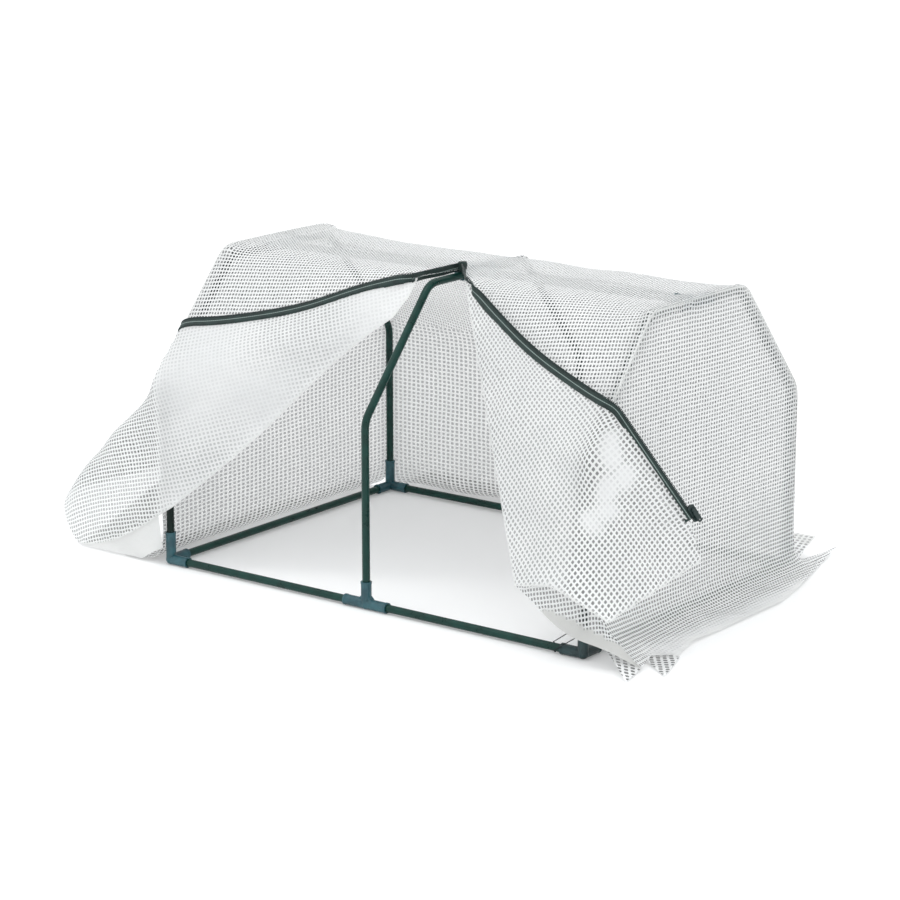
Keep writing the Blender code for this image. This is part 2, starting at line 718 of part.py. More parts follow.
def build_zip_half(name, side):
    """Tape and teeth: a plain bar down to the last bend, then separate teeth gripping the tape's edge."""
    points = zip_line(side)
    frames = strip_frames(points, front_shoulder(side, FLAP_LIFT), side)
    low = BEAD_MIDDLE - BEAD_HEIGHT / 2
    high = BEAD_MIDDLE + BEAD_HEIGHT / 2
    tape_section = section_between(-TAPE_OVERLAP, TAPE_FREE + BEAD_GRIP, TAPE_BASE, TAPE_BASE + TAPE_THICKNESS)
    bead_section = section_between(TAPE_FREE, TAPE_FREE + BEAD_WIDTH, low, high)
    first, across, up = frames[0]
    bar_start = first + (points[1] - points[0]).normalized() * BEAD_START
    stretch = points[-1] - points[-2]
    bar_end = points[-2] + stretch.normalized() * (TEETH_FROM_BEND - TOOTH_LENGTH / 2)
    bar_frames = [(bar_start, across, up)] + frames[1:-1] + [(bar_end, frames[-1][1], frames[-1][2])]
    joined = [tool(swept_section(tape_section, frames)), tool(swept_section(bead_section, bar_frames))]
    room = stretch.length - TEETH_FROM_BEND - TEETH_FROM_END - TOOTH_LENGTH - TOOTH_PITCH / 2
    joined.append(tooth_row(side, int(room / TOOTH_PITCH) + 1))
    place_mesh(name, carve(name, joined, []), ZIP_TAPE)


def tooth_row(side, count):
    """Teeth side by side on the straight stretch; those of one row face the gaps of the other."""
    stagger = TOOTH_PITCH / 2 if side < 0 else 0
    size = (TOOTH_LENGTH, BEAD_WIDTH, BEAD_HEIGHT)
    work = bmesh.new()
    for i in range(count):
        distance = TEETH_FROM_END + TOOTH_LENGTH / 2 + stagger + i * TOOTH_PITCH
        place = zip_matrix(side, distance) @ Matrix.Diagonal((*size, 1.0))
        bmesh.ops.create_cube(work, size=1.0, matrix=place)
    mesh = bpy.data.meshes.new("teeth")
    work.to_mesh(mesh)
    work.free()
    return tool(mesh)


def zip_matrix(side, distance):
    """Axes on the middle of a row of teeth, a distance above its lower end: X down the row, Y across it, Z outwards."""
    points = zip_line(side)
    _, across, out = strip_frames(points, front_shoulder(side, FLAP_LIFT), side)[-1]
    along = (points[-1] - points[-2]).normalized()
    place = points[-1] - along * distance + across * (TAPE_FREE + BEAD_WIDTH / 2) + out * BEAD_MIDDLE
    turn = Matrix((along, out.cross(along), out)).transposed().to_4x4()
    return Matrix.Translation(place) @ turn


def box_between(low, high):
    low, high = Vector(low), Vector(high)
    return block((low + high) / 2, high - low)


def chamfered_plate(low, high, chamfer):
    """A flat plate between two opposite corners, with its four upright edges cut off."""
    low, high = Vector(low), Vector(high)
    outline = [
        (low.x + chamfer, low.y), (high.x - chamfer, low.y), (high.x, low.y + chamfer), (high.x, high.y - chamfer),
        (high.x - chamfer, high.y), (low.x + chamfer, high.y), (low.x, high.y - chamfer), (low.x, low.y + chamfer),
    ]
    return prism([(x, y, low.z) for x, y in outline], (0, 0, low.z), (0, 0, high.z))


def slider_mesh():
    """Two plates round the rows of teeth, joined by a wedge between the rows, with a bar on lugs for the pull."""
    half = SLIDER_LENGTH / 2
    near = SLIDER_MIDDLE - SLIDER_HALF_WIDTH
    far = SLIDER_MIDDLE + SLIDER_HALF_WIDTH
    inside = BEAD_HEIGHT / 2 + SLIDER_CLEARANCE
    outside = inside + SLIDER_PLATE
    slot = TAPE_THICKNESS / 2 + SLIDER_CLEARANCE
    wall = BEAD_WIDTH / 2 + SLIDER_CLEARANCE
    joined = [chamfered_plate((-half, near, inside), (half, far, outside), SLIDER_CHAMFER)]
    wedge = [
        (-half, SLIDER_MIDDLE), (-half / 2, SLIDER_MIDDLE + WEDGE_HALF),
        (half / 4, SLIDER_MIDDLE), (-half / 2, SLIDER_MIDDLE - WEDGE_HALF),
    ]
    buried = inside + SLIDER_PLATE / 2
    joined.append(prism([(x, y, -buried) for x, y in wedge], (0, 0, -buried), (0, 0, buried)))
    joined.append(chamfered_plate((-half, near, -outside), (half, far, -inside), SLIDER_CHAMFER))
    rail = half - SLIDER_CHAMFER
    for low, high in [(near, -wall), (2 * SLIDER_MIDDLE + wall, far)]:
        joined.append(box_between((-rail, low, slot), (rail, high, buried)))
        joined.append(box_between((-rail, low, -buried), (rail, high, -slot)))
    for side in (-1, 1):
        inner = SLIDER_MIDDLE + side * (EYE_HALF + SLIDER_CLEARANCE)
        outer = inner + side * LUG_THICKNESS
        low = (PIVOT_X - LUG_HALF, min(inner, outer), buried)
        high = (PIVOT_X + LUG_HALF, max(inner, outer), PIVOT_HEIGHT + LUG_HALF)
        joined.append(box_between(low, high))
    reach = EYE_HALF + SLIDER_CLEARANCE + LUG_THICKNESS / 2
    ends = [(PIVOT_X, SLIDER_MIDDLE + side * reach, PIVOT_HEIGHT) for side in (-1, 1)]
    joined.append(bar(*ends, PIVOT_RADIUS, BORE_SIDES))
    return carve("zip_slider", joined, [])


def pull_mesh():
    """The pull tab: an eye round the slider's bar, a neck between the lugs and a tab with a round hole."""
    ends = [(PIVOT_X, SLIDER_MIDDLE + side * EYE_HALF, PIVOT_HEIGHT) for side in (-1, 1)]
    past = [(PIVOT_X, SLIDER_MIDDLE + side * 2 * EYE_HALF, PIVOT_HEIGHT) for side in (-1, 1)]
    low = PIVOT_HEIGHT - PULL_THICKNESS / 2
    high = PIVOT_HEIGHT + PULL_THICKNESS / 2
    start = PIVOT_X + LUG_HALF + 2 * PULL_THICKNESS / 3
    finish = PIVOT_X + PULL_LENGTH
    neck = box_between((PIVOT_X, SLIDER_MIDDLE - EYE_HALF, low), (start + 0.001, SLIDER_MIDDLE + EYE_HALF, high))
    tab_low = (start, SLIDER_MIDDLE - PULL_WIDTH / 2, low)
    tab_high = (finish, SLIDER_MIDDLE + PULL_WIDTH / 2, high)
    joined = [bar(*ends, EYE_RADIUS, SOCKET_SIDES), neck, chamfered_plate(tab_low, tab_high, SLIDER_CHAMFER)]
    hole_x = finish - PULL_WIDTH / 2
    hole_ends = [(hole_x, SLIDER_MIDDLE, low - 0.001), (hole_x, SLIDER_MIDDLE, high + 0.001)]
    bore = bar(*past, PIVOT_RADIUS + PIVOT_CLEARANCE, SOCKET_SIDES)
    return carve("zip_pull", joined, [bore, bar(*hole_ends, PULL_HOLE, SOCKET_SIDES)])


def box_mesh():
    """The fitting at the foot of the slider's row, bored for the pin of the other half."""
    near = SLIDER_MIDDLE - SLIDER_HALF_WIDTH
    far = SLIDER_MIDDLE + SLIDER_HALF_WIDTH
    deep = BEAD_HEIGHT / 2 + SLIDER_CLEARANCE + SLIDER_PLATE / 2
    body = chamfered_plate((SEAT_GAP, near, -deep), (SEAT_GAP + BOX_LENGTH, far, deep), SLIDER_CHAMFER / 2)
    across = 2 * SLIDER_MIDDLE
    bore = bar((-BOX_LENGTH, across, 0), (2 * BOX_LENGTH, across, 0), PIN_RADIUS + SLIDER_CLEARANCE, BORE_SIDES)
    return carve("zip_box", [body], [bore])


def pin_mesh():
    """The fitting at the foot of the other row: a sleeve crimped on the tape's end, and the pin itself."""
    sleeve = bar((SEAT_GAP, 0, 0), (SEAT_GAP + PIN_LENGTH / 3, 0, 0), BEAD_HEIGHT / 2, BORE_SIDES)
    pin = bar((2 * SEAT_GAP, 0, 0), (SEAT_GAP + PIN_LENGTH, 0, 0), PIN_RADIUS, BORE_SIDES)
    return carve("zip_pin", [sleeve, pin], [])


def build_zip_fittings():
    rest = zip_matrix(1, SLIDER_LENGTH / 2 + SLIDER_CLEARANCE)
    place_mesh("zip_slider", slider_mesh(), ZIP_PLASTIC, rest)
    place_mesh("zip_pull", pull_mesh(), ZIP_PLASTIC, rest)
    place_mesh("zip_box", box_mesh(), ZIP_PLASTIC, zip_matrix(1, 0))
    place_mesh("zip_pin", pin_mesh(), ZIP_PLASTIC, zip_matrix(-1, 0))


def build_zip_head():
    """The zip's top end: tape and teeth down both sides of the slit in the roof, and the stop where they meet."""
    outline = offset_outline(COVER_OFFSET)
    front = outline[2].x + SEAT_GAP
    low = outline[2].y + SHEET + SEAT_GAP
    apex = RIDGE_Y - SLIT_BACK
    depth = apex - outline[2].x
    left_edge = -SLIT_LEFT * (apex - front) / depth
    right_edge = SLIT_RIGHT * (apex - front) / depth
    left_tape = HEAD_TAPE * math.hypot(SLIT_LEFT, depth) / depth
    right_tape = HEAD_TAPE * math.hypot(SLIT_RIGHT, depth) / depth
    ring = [
        (0, apex), (left_edge, front), (left_edge - left_tape, front), (-left_tape, apex), (0, apex + HEAD_TAPE),
        (right_tape, apex), (right_edge + right_tape, front), (right_edge, front),
    ]
    tape = prism([(x, y, low) for x, y in ring], (0, 0, low), (0, 0, low + TAPE_THICKNESS))
    joined = [tape]
    for edge, share in [(left_edge, -left_tape), (right_edge, right_tape)]:
        inset = share * HEAD_BEAD_INSET / HEAD_TAPE
        width = share * BEAD_WIDTH / HEAD_TAPE
        start = front + SEAT_GAP
        foot = edge * (apex - start) / (apex - front)
        bead = [(inset, apex), (foot + inset, start), (foot + inset + width, start), (inset + width, apex)]
        low_side = low + TAPE_THICKNESS / 2
        joined.append(prism([(x, y, low_side) for x, y in bead], (0, 0, low_side), (0, 0, low + HEAD_BEAD_HEIGHT)))
    half = HEAD_STOP / 2
    joined.append(box_between((-half, apex - half, low + TAPE_THICKNESS / 3), (half, apex + half, low + HEAD_STOP_HEIGHT)))
    place_mesh("zip_head", carve("zip_head", joined, []), ZIP_TAPE)


def tie_path():
    """From the fixed panel's lower edge over the sill, round behind and under it, and back to the edge."""
    start = crease_foot(1)
    end = beyond_end(1, RIGHT_PANEL_LIFT)
    radius = TUBE_RADIUS + TIE_CLEARANCE + TIE_RADIUS
    points = []
    for step in range(TIE_STEPS + 1):
        share = step / TIE_STEPS
        angle = math.radians(TIE_OVER_ANGLE + (TIE_UNDER_ANGLE - TIE_OVER_ANGLE) * share)
        x = HALF_LENGTH - TIE_FROM_CORNER + TIE_SPREAD * (share - 0.5)
        points.append(Vector((x, -math.cos(angle) * radius, SILL_HEIGHT + math.sin(angle) * radius)))
    tops = []
    for x in TIE_TOPS:
        share = (HALF_LENGTH + x - start.x) / (end.x - start.x)
        tops.append(start.lerp(end, share) + Vector((0, TIE_RADIUS + 2 * TIE_CLEARANCE, 0)))
    return [tops[0]] + points + [tops[1]]


def build_tie():
    mesh = baked_mesh(curve_object("tie_front_right", tie_path(), TIE_RADIUS, TIE_RESOLUTION, True), "tie_front_right")
    place_mesh("tie_front_right", mesh, TIE_CORD)


build_connectors()
build_sills()
build_hoops()
build_ridge()
build_roof_and_back()
build_ends()
build_front_left()
build_front_right()
build_flap("left_flap", -1)
build_flap("right_flap", 1)
build_zip_head()
build_zip_half("zip_half_left", -1)
build_zip_half("zip_half_right", 1)
build_zip_fittings()
build_tie()
CUTTERS.hide_render = True
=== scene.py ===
"""The looks of the mini greenhouse: film sheets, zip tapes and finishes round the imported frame.

Each film sheet is a net of a few flat facets through measured points. The net is laid flat as its cutting
pattern, filled with an even mesh, put back on its facets and relaxed between the places that hold it. The
pattern's coordinates carry the film's grid, so the grid turns and folds with the cloth.
"""

import math
from itertools import accumulate

import bpy
import numpy as np
from mathutils import Matrix, Vector, noise
from mathutils.bvhtree import BVHTree
from mathutils.geometry import delaunay_2d_cdt


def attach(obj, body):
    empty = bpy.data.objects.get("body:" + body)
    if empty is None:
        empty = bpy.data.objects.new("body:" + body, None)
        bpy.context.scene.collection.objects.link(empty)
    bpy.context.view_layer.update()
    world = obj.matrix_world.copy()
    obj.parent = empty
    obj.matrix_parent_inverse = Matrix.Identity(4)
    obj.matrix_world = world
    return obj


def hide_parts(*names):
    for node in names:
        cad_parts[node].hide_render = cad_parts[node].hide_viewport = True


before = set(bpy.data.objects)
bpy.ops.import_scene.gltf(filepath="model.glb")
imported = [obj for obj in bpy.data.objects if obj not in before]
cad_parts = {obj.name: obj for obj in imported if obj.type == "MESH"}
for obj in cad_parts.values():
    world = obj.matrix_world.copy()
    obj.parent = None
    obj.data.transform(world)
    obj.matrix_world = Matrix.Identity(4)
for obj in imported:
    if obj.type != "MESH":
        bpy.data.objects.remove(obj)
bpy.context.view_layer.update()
bpy.context.scene.view_settings.view_transform = "Standard"

# Camera
AZIMUTH = math.radians(36.85)
ELEVATION = math.radians(14.36)
DISTANCE = 5.55
SIDE_STEP = 0.053
UP_STEP = 0.065
LENS = 115.2
MIDDLE_Y = 0.3475
AIM = Vector((0, MIDDLE_Y, 0.3))

# Light and floor
WHITE = (1, 1, 1, 1)
SKY = (0.97, 0.99, 1.0, 1)
SKY_STRENGTH = 1.36
TOWARD_SUN = Vector((-0.35, -0.25, 1.0))
FLOOR_REACH = 130
FLOOR_DROP = 0.0012
FLOOR_GREY = (0.80, 0.80, 0.80, 1)
FLOOR_GLOW = 0.14
SQUARE = ((-1, -1), (1, -1), (1, 1), (-1, 1))

# The film's look: sway and windows in shares of a grid cell, then colours and opacities
# Point fields: plain selvages, haze (a painted highlight on the right flap) and painted shade
FIELDS = ("plain", "haze_and_painted_glare", "painted_shade")
GRID_WAVES = 0.38
GRID_SWAY = 0.26
WINDOW_RAMP = (0.335, 0.255)
# How much of a window the haze hides; on the right flap the haze is a painted highlight
HAZE_AND_GLARE_HIDES = 0.93
TAPE_COLOURS = ((0.915, 0.92, 0.92, 1), (0.955, 0.957, 0.955, 1))
PLAIN_COLOURS = ((0.84, 0.845, 0.835, 1), (0.91, 0.91, 0.90, 1))
# Plain film's colour where shade is painted
PLAIN_PAINTED_SHADE = (0.58, 0.575, 0.55, 1)
WINDOW_COLOUR = (0.035, 0.04, 0.04, 1)
GRID_ALPHA = 0.98
PLAIN_ALPHA = 0.96
WINDOW_ALPHA = 0.60
# Windows' opacity where shade is painted, so they read darker there
WINDOW_ALPHA_PAINTED_SHADE = 0.70
TRANSLUCENT_SHARE = 0.42

# The zip tape's look
RIB_PITCH = 0.0011
WARP_PITCH = 0.0014
STITCH_PITCH = 0.0045
STITCH_AT = 0.0010
CLOTH_COLOURS = ((0.004, 0.017, 0.015, 1), (0.010, 0.032, 0.028, 1))
STITCH_COLOUR = (0.24, 0.31, 0.29, 1)

# Finishes: dark and light colour, roughness, the grain's scale and depth, and a gloss level where it is low
FINISHES = {
    "connector_teal": ((0.012, 0.055, 0.070), (0.028, 0.110, 0.132), 0.38, 700, 0.0004),
    # A darker copy of the teal: painted shade for the front right corner, which lies in the film's shadow
    "connector_teal_painted_shade": ((0.006, 0.022, 0.024), (0.014, 0.046, 0.050), 0.36, 700, 0.0003),
    "tube_green": ((0.0015, 0.026, 0.020), (0.0027, 0.041, 0.032), 0.30, 900, 0.00005, 0.28),
    # A near-black copy of the tube green: painted shade for the left hoop's front leg, in the flap's shadow
    "tube_painted_shade": ((0.0008, 0.008, 0.006), (0.0015, 0.014, 0.011), 0.35, 900, 0.00005, 0.2),
    "zip_plastic": ((0.005, 0.016, 0.016), (0.012, 0.028, 0.027), 0.36, 1200, 0.0002),
    "tie_cord": ((0.006, 0.010, 0.012), (0.018, 0.026, 0.028), 0.85, 2500, 0.0006),
}
SHARP_ANGLE = math.radians(38)

# The hoops' centre line in (y, z), and how far the film lies outside it
HOOP_LINE = [(0, 0), (0, 0.358), (0.196, 0.584), (0.499, 0.584), (0.695, 0.358), (0.695, 0)]
HOOP_X = 0.487
COVER_OFFSET = 0.0116
END_OFFSET = 0.0108
BEND_RADIUS = 0.045
ARC_STEPS = 4
EDGE = 0.4988
BACK_FOOT = 0.7066
BACK_WALL = (0.685, 0.372)
END_X = 0.4982
END_DEPTH = 0.717
APEX = (0.0, 0.300, 0.5956)
LEFT_TOP = (-0.022, 0.1905, 0.5953)
RIGHT_TOP = (0.086, 0.1905, 0.5953)
LEFT_FOOT = (-0.469, -0.0116, 0.120)
RIGHT_FOOT = (0.360, -0.0275, 0.117)
INNER = 0.477
SHOULDER = (-0.0164, 0.3641)

# Film: the mesh's step, and each sheet's grid pitch and turn
MESH_STEP = 0.009
TIP_STEP = 0.006
COVER_PITCH = (0.0066, 0.0082)
COVER_SPIN = 9.5
BACK_PITCH = (0.0115, 0.0086)
RIGHT_END_PITCH = (0.0086, 0.0080)
LEFT_END_PITCH = (0.0130, 0.0080)
LEFT_FLAP_PITCH = (0.0080, 0.0082)
LEFT_FLAP_SPIN = -9.0
RIGHT_FLAP_PITCH = (0.0097, 0.0087)
TIP_PITCH = (0.0120, 0.0120)
SELVAGE = 0.0024

# Settling: how the nets are laid flat, held, smoothed and kept clear
FAR = 9.0
FLATTEN_ROUNDS = 6000
FLATTEN_SHARE = 0.45
ROW_SHARE = 0.866
RIM_MARGIN = 0.55
POINT_HOLD = 0.3
EDGE_HOLD = 0.0005
ZIP_HOLD = 0.0135
RELAX_SHARE = 0.6
SMOOTH_ROUNDS = 8
RIM_ROUNDS = 3
SLACK_EASE = 0.07
TUBE_CLEAR = 0.0098
ABOVE_FOOT = 0.12
WIDEST_PUSH = 0.02
FLAP_GAP = 0.0042
COVER_SEARCH = 0.04
BESIDE_COVER = 0.002
PUSH_EASE_ROUNDS = 16

# The slack that stands proud of the left hoop: its height, where it starts in x and z, and its run there
PUFF = 0.011
PUFF_X = (-0.22, 0.27)
PUFF_Z = (0.26, 0.18)
PUFF_CENTRE = 0.30

# Zip
TAPE_IN = 0.0065
TAPE_UNDER = 0.0085
TAPE_OUT = 0.007
TAPE_EDGE = 0.0016
TAPE_WIDTHS = (-TAPE_UNDER, -TAPE_IN - 0.0008, -TAPE_IN, -0.004, 0.001, 0.005, TAPE_OUT + TAPE_EDGE)
TAPE_HEIGHTS = (-0.0022, -0.0016, 0.0023, 0.0023, 0.0023, 0.0023, 0.0023)
TAPE_STEP = 0.004
TAPE_THICKNESS = 0.0008
TOP_LIFT = (0.003, 0.07)
DIVE = (0.0045, 0.08)
RIGHT_DIVE_FROM = 0.46
STRAIGHT_FROM = 0.024
STRAIGHT_LEAD = 0.002
TOOTH_PITCH = 0.0032
TOOTH_LENGTH = 0.0021
TOOTH_HALF_WIDTH = 0.0019
TOOTH_NIB = 0.8
TOOTH_LEVELS = ((-0.0015, 0.75), (-0.0008, 1.0), (0.0008, 1.0), (0.0015, 0.75))
ROW_CENTRE = 0.009
ROW_HEIGHT = 0.00225
LEFT_ZIP = [
    (-0.0300, 0.1905, 0.5930), (-0.05844, 0.177254, 0.5865), (-0.13636, 0.157056, 0.563211),
    (-0.25324, 0.114641, 0.514303), (-0.40908, 0.080304, 0.474711), (-0.50161, 0.070205, 0.463066),
    (-0.6082, 0.15, 0.24),
]
RIGHT_ZIP = [
    (0.0920, 0.1905, 0.6000), (0.1163, 0.1743, 0.5888), (0.1880, 0.1443, 0.5541), (0.3030, 0.1014, 0.5046),
    (0.4248, 0.0692, 0.4673), (0.4860, 0.0500, 0.4540), (0.5048, 0.0609, 0.4428), (0.6082, 0.15, 0.24),
]

# The zip's top end
HEAD_APEX = Vector((0, 0.300, 0.6000))
HEAD_LEFT = Vector((-0.0318, 0.1820, 0.5918))
HEAD_RIGHT = Vector((0.0880, 0.1935, 0.5960))
HEAD_STEPS = 12
HEAD_HALF = 0.0075
HEAD_WAVE = 0.002
HEAD_ROW = 0.0070
TAB_CENTRE = Vector((0.000, 0.2975, 0.6000))
TAB_HALF = Vector((0.0085, 0.0075, 0.0105))
TAB_RINGS = 9
TAB_AROUND = 20
TAB_ROUNDING = 0.45
TAB_WRINKLE = 0.0022

# The left flap's fold: shares of its length with how far it swells there, and which way in each half
FOLD = [
    (0.05, 0.020), (0.12, 0.031), (0.20, 0.021), (0.33, 0.013), (0.45, 0.015), (0.60, 0.015), (0.75, 0.013),
    (0.88, 0.007),
]
FOLD_MIDDLE = 0.48
FOLD_WAYS = (Vector((0.74, -0.44, -0.51)), Vector((0.74, -0.15, -0.65)))

# The painted highlight on the right flap, made by hiding its windows: centres and reaches of its patches
GLARE = [
    (0.506, 0.045, 0.390, 0.024), (0.512, 0.040, 0.362, 0.032), (0.535, 0.050, 0.330, 0.034),
    (0.522, 0.015, 0.310, 0.032), (0.528, 0.010, 0.275, 0.026), (0.514, -0.010, 0.245, 0.022),
    (0.522, -0.015, 0.205, 0.016), (0.600, 0.100, 0.240, 0.018),
]

# Tie cord round the front sill, and the panel's edge that its ends reach
CORD_DIAMETER = 0.0016
TIE_RADIUS = 0.0086
TIE_HEIGHT = 0.0095
TIE_FROM_LEG = 0.061
TIE_DRIFT = 0.012
TIE_START = 125
TIE_TURN = 220
TIE_STEPS = 24
TIE_LEAD = 5
TIE_ENDS = (-0.011, 0.003)
TIE_LIFT = 0.0014
TIE_EDGE = (Vector((0.360, -0.027, 0.117)), Vector((0.5192, -0.030, 0.030)))


def link(name, data):
    made = bpy.data.objects.new(name, data)
    bpy.context.scene.collection.objects.link(made)
    return made


def piece(name, places, faces, material):
    mesh = bpy.data.meshes.new(name)
    mesh.from_pydata([tuple(place) for place in places], [], faces)
    mesh.materials.append(material)
    return link(name, mesh)


# Materials

class Nodes:
    """Short names for building the node tree of a material or of the world."""

    def __init__(self, owner, output="OutputMaterial"):
        owner.use_nodes = True
        self.owner = owner
        self.tree = owner.node_tree
        self.tree.nodes.clear()
        self.out = self.node(output)

    def node(self, kind, given=(), **settings):
        """A new node. What is given for its inputs, by name or number, is a socket to link or a value."""
        made = self.tree.nodes.new("ShaderNode" + kind)
        for key, value in settings.items():
            setattr(made, key, value)
        for key, value in dict(given).items():
            if hasattr(value, "is_linked"):
                self.tree.links.new(value, made.inputs[key])
            else:
                made.inputs[key].default_value = value
        return made

    def math(self, operation, *values):
        return self.node("Math", enumerate(values), operation=operation).outputs[0]

    def vector(self, operation, *values):
        return self.node("VectorMath", enumerate(values), operation=operation).outputs[0]

    def apart(self, first, second):
        return self.math("ABSOLUTE", self.math("SUBTRACT", first, second))

    def split(self, vector):
        return self.node("SeparateXYZ", {0: vector}).outputs

    def ramp(self, value, low, high, first=0.0, last=1.0):
        given = enumerate((value, low, high, first, last))
        return self.node("MapRange", given, interpolation_type="SMOOTHSTEP").outputs[0]

    def noise(self, where, scale, detail=2.0, rough=0.5, output="Fac"):
        given = {"Vector": where, "Scale": scale, "Detail": detail, "Roughness": rough}
        return self.node("TexNoise", given).outputs[output]

    def mix(self, share, first, second):
        return self.node("Mix", {0: share, 6: first, 7: second}, data_type="RGBA").outputs[2]

    def blend(self, share, first, second):
        return self.node("Mix", {0: share, 2: first, 3: second}, data_type="FLOAT").outputs[0]

    def bump(self, height, distance, strength, **under):
        given = {"Strength": strength, "Distance": distance, "Height": height, **under}
        return self.node("Bump", given).outputs[0]

    def attribute(self, name):
        return self.node("Attribute", attribute_name=name).outputs["Fac"]

    def shader(self, kind, given=()):
        return self.node(kind, given).outputs[0]

    def mix_shader(self, share, first, second):
        return self.shader("MixShader", {0: share, 1: first, 2: second})

    def finish(self, shader):
        self.tree.links.new(shader, self.out.inputs["Surface"])
        return self.owner


def grid_windows(n, pattern):
    """1 in the grid's windows and 0 on its tapes, which sway; a window is a square with round corners."""
    wave = n.noise(pattern, GRID_WAVES, detail=1.0, output="Color")
    sway = n.vector("MULTIPLY", n.vector("SUBTRACT", wave, (0.5,) * 3), (GRID_SWAY,) * 3)
    cell = n.split(n.vector("ADD", pattern, sway))
    across, along = (n.math("POWER", n.apart(n.math("FRACT", cell[axis]), 0.5), 4.0) for axis in (0, 1))
    return n.ramp(n.math("POWER", n.math("ADD", across, along), 0.25), *WINDOW_RAMP)


def film_material():
    """White grid tape laminated in clear film: tapes and windows, plain selvages, wrinkles and gloss. Its
    fields also paint shade, and a highlight on the right flap.
    """
    n = Nodes(bpy.data.materials.new("grid_film"))
    pattern = n.node("UVMap", uv_map="pattern").outputs[0]
    place = n.node("TexCoord").outputs["Object"]
    plain, haze_and_painted_glare, painted_shade = (n.attribute(name) for name in FIELDS)
    window = n.math("MULTIPLY", grid_windows(n, pattern), n.math("SUBTRACT", 1.0, plain))
    # Haze hides windows: milky film, and on the right flap a painted highlight
    clear = n.math("MULTIPLY", window, n.math("SUBTRACT", 1.0, n.math("MULTIPLY", haze_and_painted_glare, HAZE_AND_GLARE_HIDES)))
    cloud = n.ramp(n.noise(place, 9, detail=3.0), 0.35, 0.7)
    # Plain film and windows are darker where shade is painted
    plain_colour = n.mix(painted_shade, n.mix(cloud, *PLAIN_COLOURS), PLAIN_PAINTED_SHADE)
    colour = n.mix(clear, n.mix(plain, n.mix(cloud, *TAPE_COLOURS), plain_colour), WINDOW_COLOUR)
    window_alpha = n.blend(painted_shade, WINDOW_ALPHA, WINDOW_ALPHA_PAINTED_SHADE)
    alpha = n.blend(clear, n.blend(plain, GRID_ALPHA, PLAIN_ALPHA), window_alpha)
    creases = n.bump(n.noise(place, 26, detail=5.0, rough=0.62), 0.012, 0.45)
    slack = n.bump(n.noise(place, 6.5, detail=3.0), 0.03, 0.4, Normal=creases)
    surface = n.shader("BsdfPrincipled", {
        "Base Color": colour,
        "Roughness": n.blend(window, 0.42, 0.2),
        "Normal": n.bump(window, 0.0004, 0.5, Normal=slack),
        "Specular IOR Level": 0.22,
    })
    through = n.shader("BsdfTranslucent", {"Color": colour})
    body = n.mix_shader(TRANSLUCENT_SHARE, surface, through)
    return n.finish(n.mix_shader(alpha, n.shader("BsdfTransparent"), body))


def solid_material(name, dark, light, roughness, grain, depth, specular=0.5):
    """A finish with slow colour variation, a fine grain and slightly uneven gloss."""
    n = Nodes(bpy.data.materials.new(name))
    place = n.node("TexCoord").outputs["Object"]
    slow = n.noise(place, 40, detail=4.0, rough=0.6)
    fine = n.noise(place, grain, detail=3.0, rough=0.6)
    return n.finish(n.shader("BsdfPrincipled", {
        "Base Color": n.mix(n.ramp(slow, 0.3, 0.7), (*dark, 1), (*light, 1)),
        "Roughness": n.ramp(slow, 0.2, 0.8, roughness * 0.85, roughness * 1.2),
        "Normal": n.bump(fine, depth, 0.6),
        "Specular IOR Level": specular,
    }))


def tape_material():
    """Woven zip tape: fine ribs across it, and a paler stitched line near the middle of its width."""
    n = Nodes(bpy.data.materials.new("zip_tape"))
    pattern = n.node("UVMap", uv_map="pattern").outputs[0]
    along, across, _ = n.split(pattern)
    ribs = n.math("SINE", n.math("MULTIPLY", along, 2 * math.pi / RIB_PITCH))
    warp = n.math("SINE", n.math("MULTIPLY", across, 2 * math.pi / WARP_PITCH))
    weave = n.math("ADD", n.math("MULTIPLY", ribs, 0.5), n.math("MULTIPLY", warp, 0.5))
    dash = n.ramp(n.apart(n.math("FRACT", n.math("DIVIDE", along, STITCH_PITCH)), 0.5), 0.36, 0.3)
    line = n.ramp(n.apart(across, STITCH_AT), 0.0009, 0.0005)
    stitch = n.math("MULTIPLY", line, n.blend(dash, 0.6, 1.0))
    cloth = n.mix(n.ramp(n.noise(pattern, 60, detail=3.0), 0.3, 0.7), *CLOTH_COLOURS)
    return n.finish(n.shader("BsdfPrincipled", {
        "Base Color": n.mix(stitch, cloth, STITCH_COLOUR),
        "Normal": n.bump(n.math("ADD", weave, stitch), 0.0003, 0.7),
        "Roughness": 0.75,
        "Sheen Weight": 0.10,
    }))


# Camera, light and floor

def make_camera():
    back = Vector((
        math.sin(AZIMUTH) * math.cos(ELEVATION),
        -math.cos(AZIMUTH) * math.cos(ELEVATION),
        math.sin(ELEVATION),
    ))
    right = (-back).cross(Vector((0, 0, 1))).normalized()
    up = right.cross(-back)
    place = AIM - right * SIDE_STEP - up * UP_STEP + back * DISTANCE
    data = bpy.data.cameras.new("camera")
    data.lens = LENS
    data.sensor_width = 36
    data.clip_end = 300
    made = link("camera", data)
    made.matrix_world = Matrix.Translation(place) @ Matrix((right, up, back)).transposed().to_4x4()
    bpy.context.scene.camera = made


def seen_directly(n):
    """1 for rays from the camera, off gloss or through glass, and 0 for those that light the scene."""
    path = n.node("LightPath").outputs
    seen = n.math("MAXIMUM", path["Is Camera Ray"], path["Is Glossy Ray"])
    return n.math("MAXIMUM", seen, path["Is Transmission Ray"])


def make_world():
    world = bpy.data.worlds.new("studio")
    bpy.context.scene.world = world
    n = Nodes(world, "OutputWorld")
    soft = n.shader("Background", {"Color": SKY, "Strength": SKY_STRENGTH})
    n.finish(n.mix_shader(seen_directly(n), soft, n.shader("Background", {"Color": WHITE})))


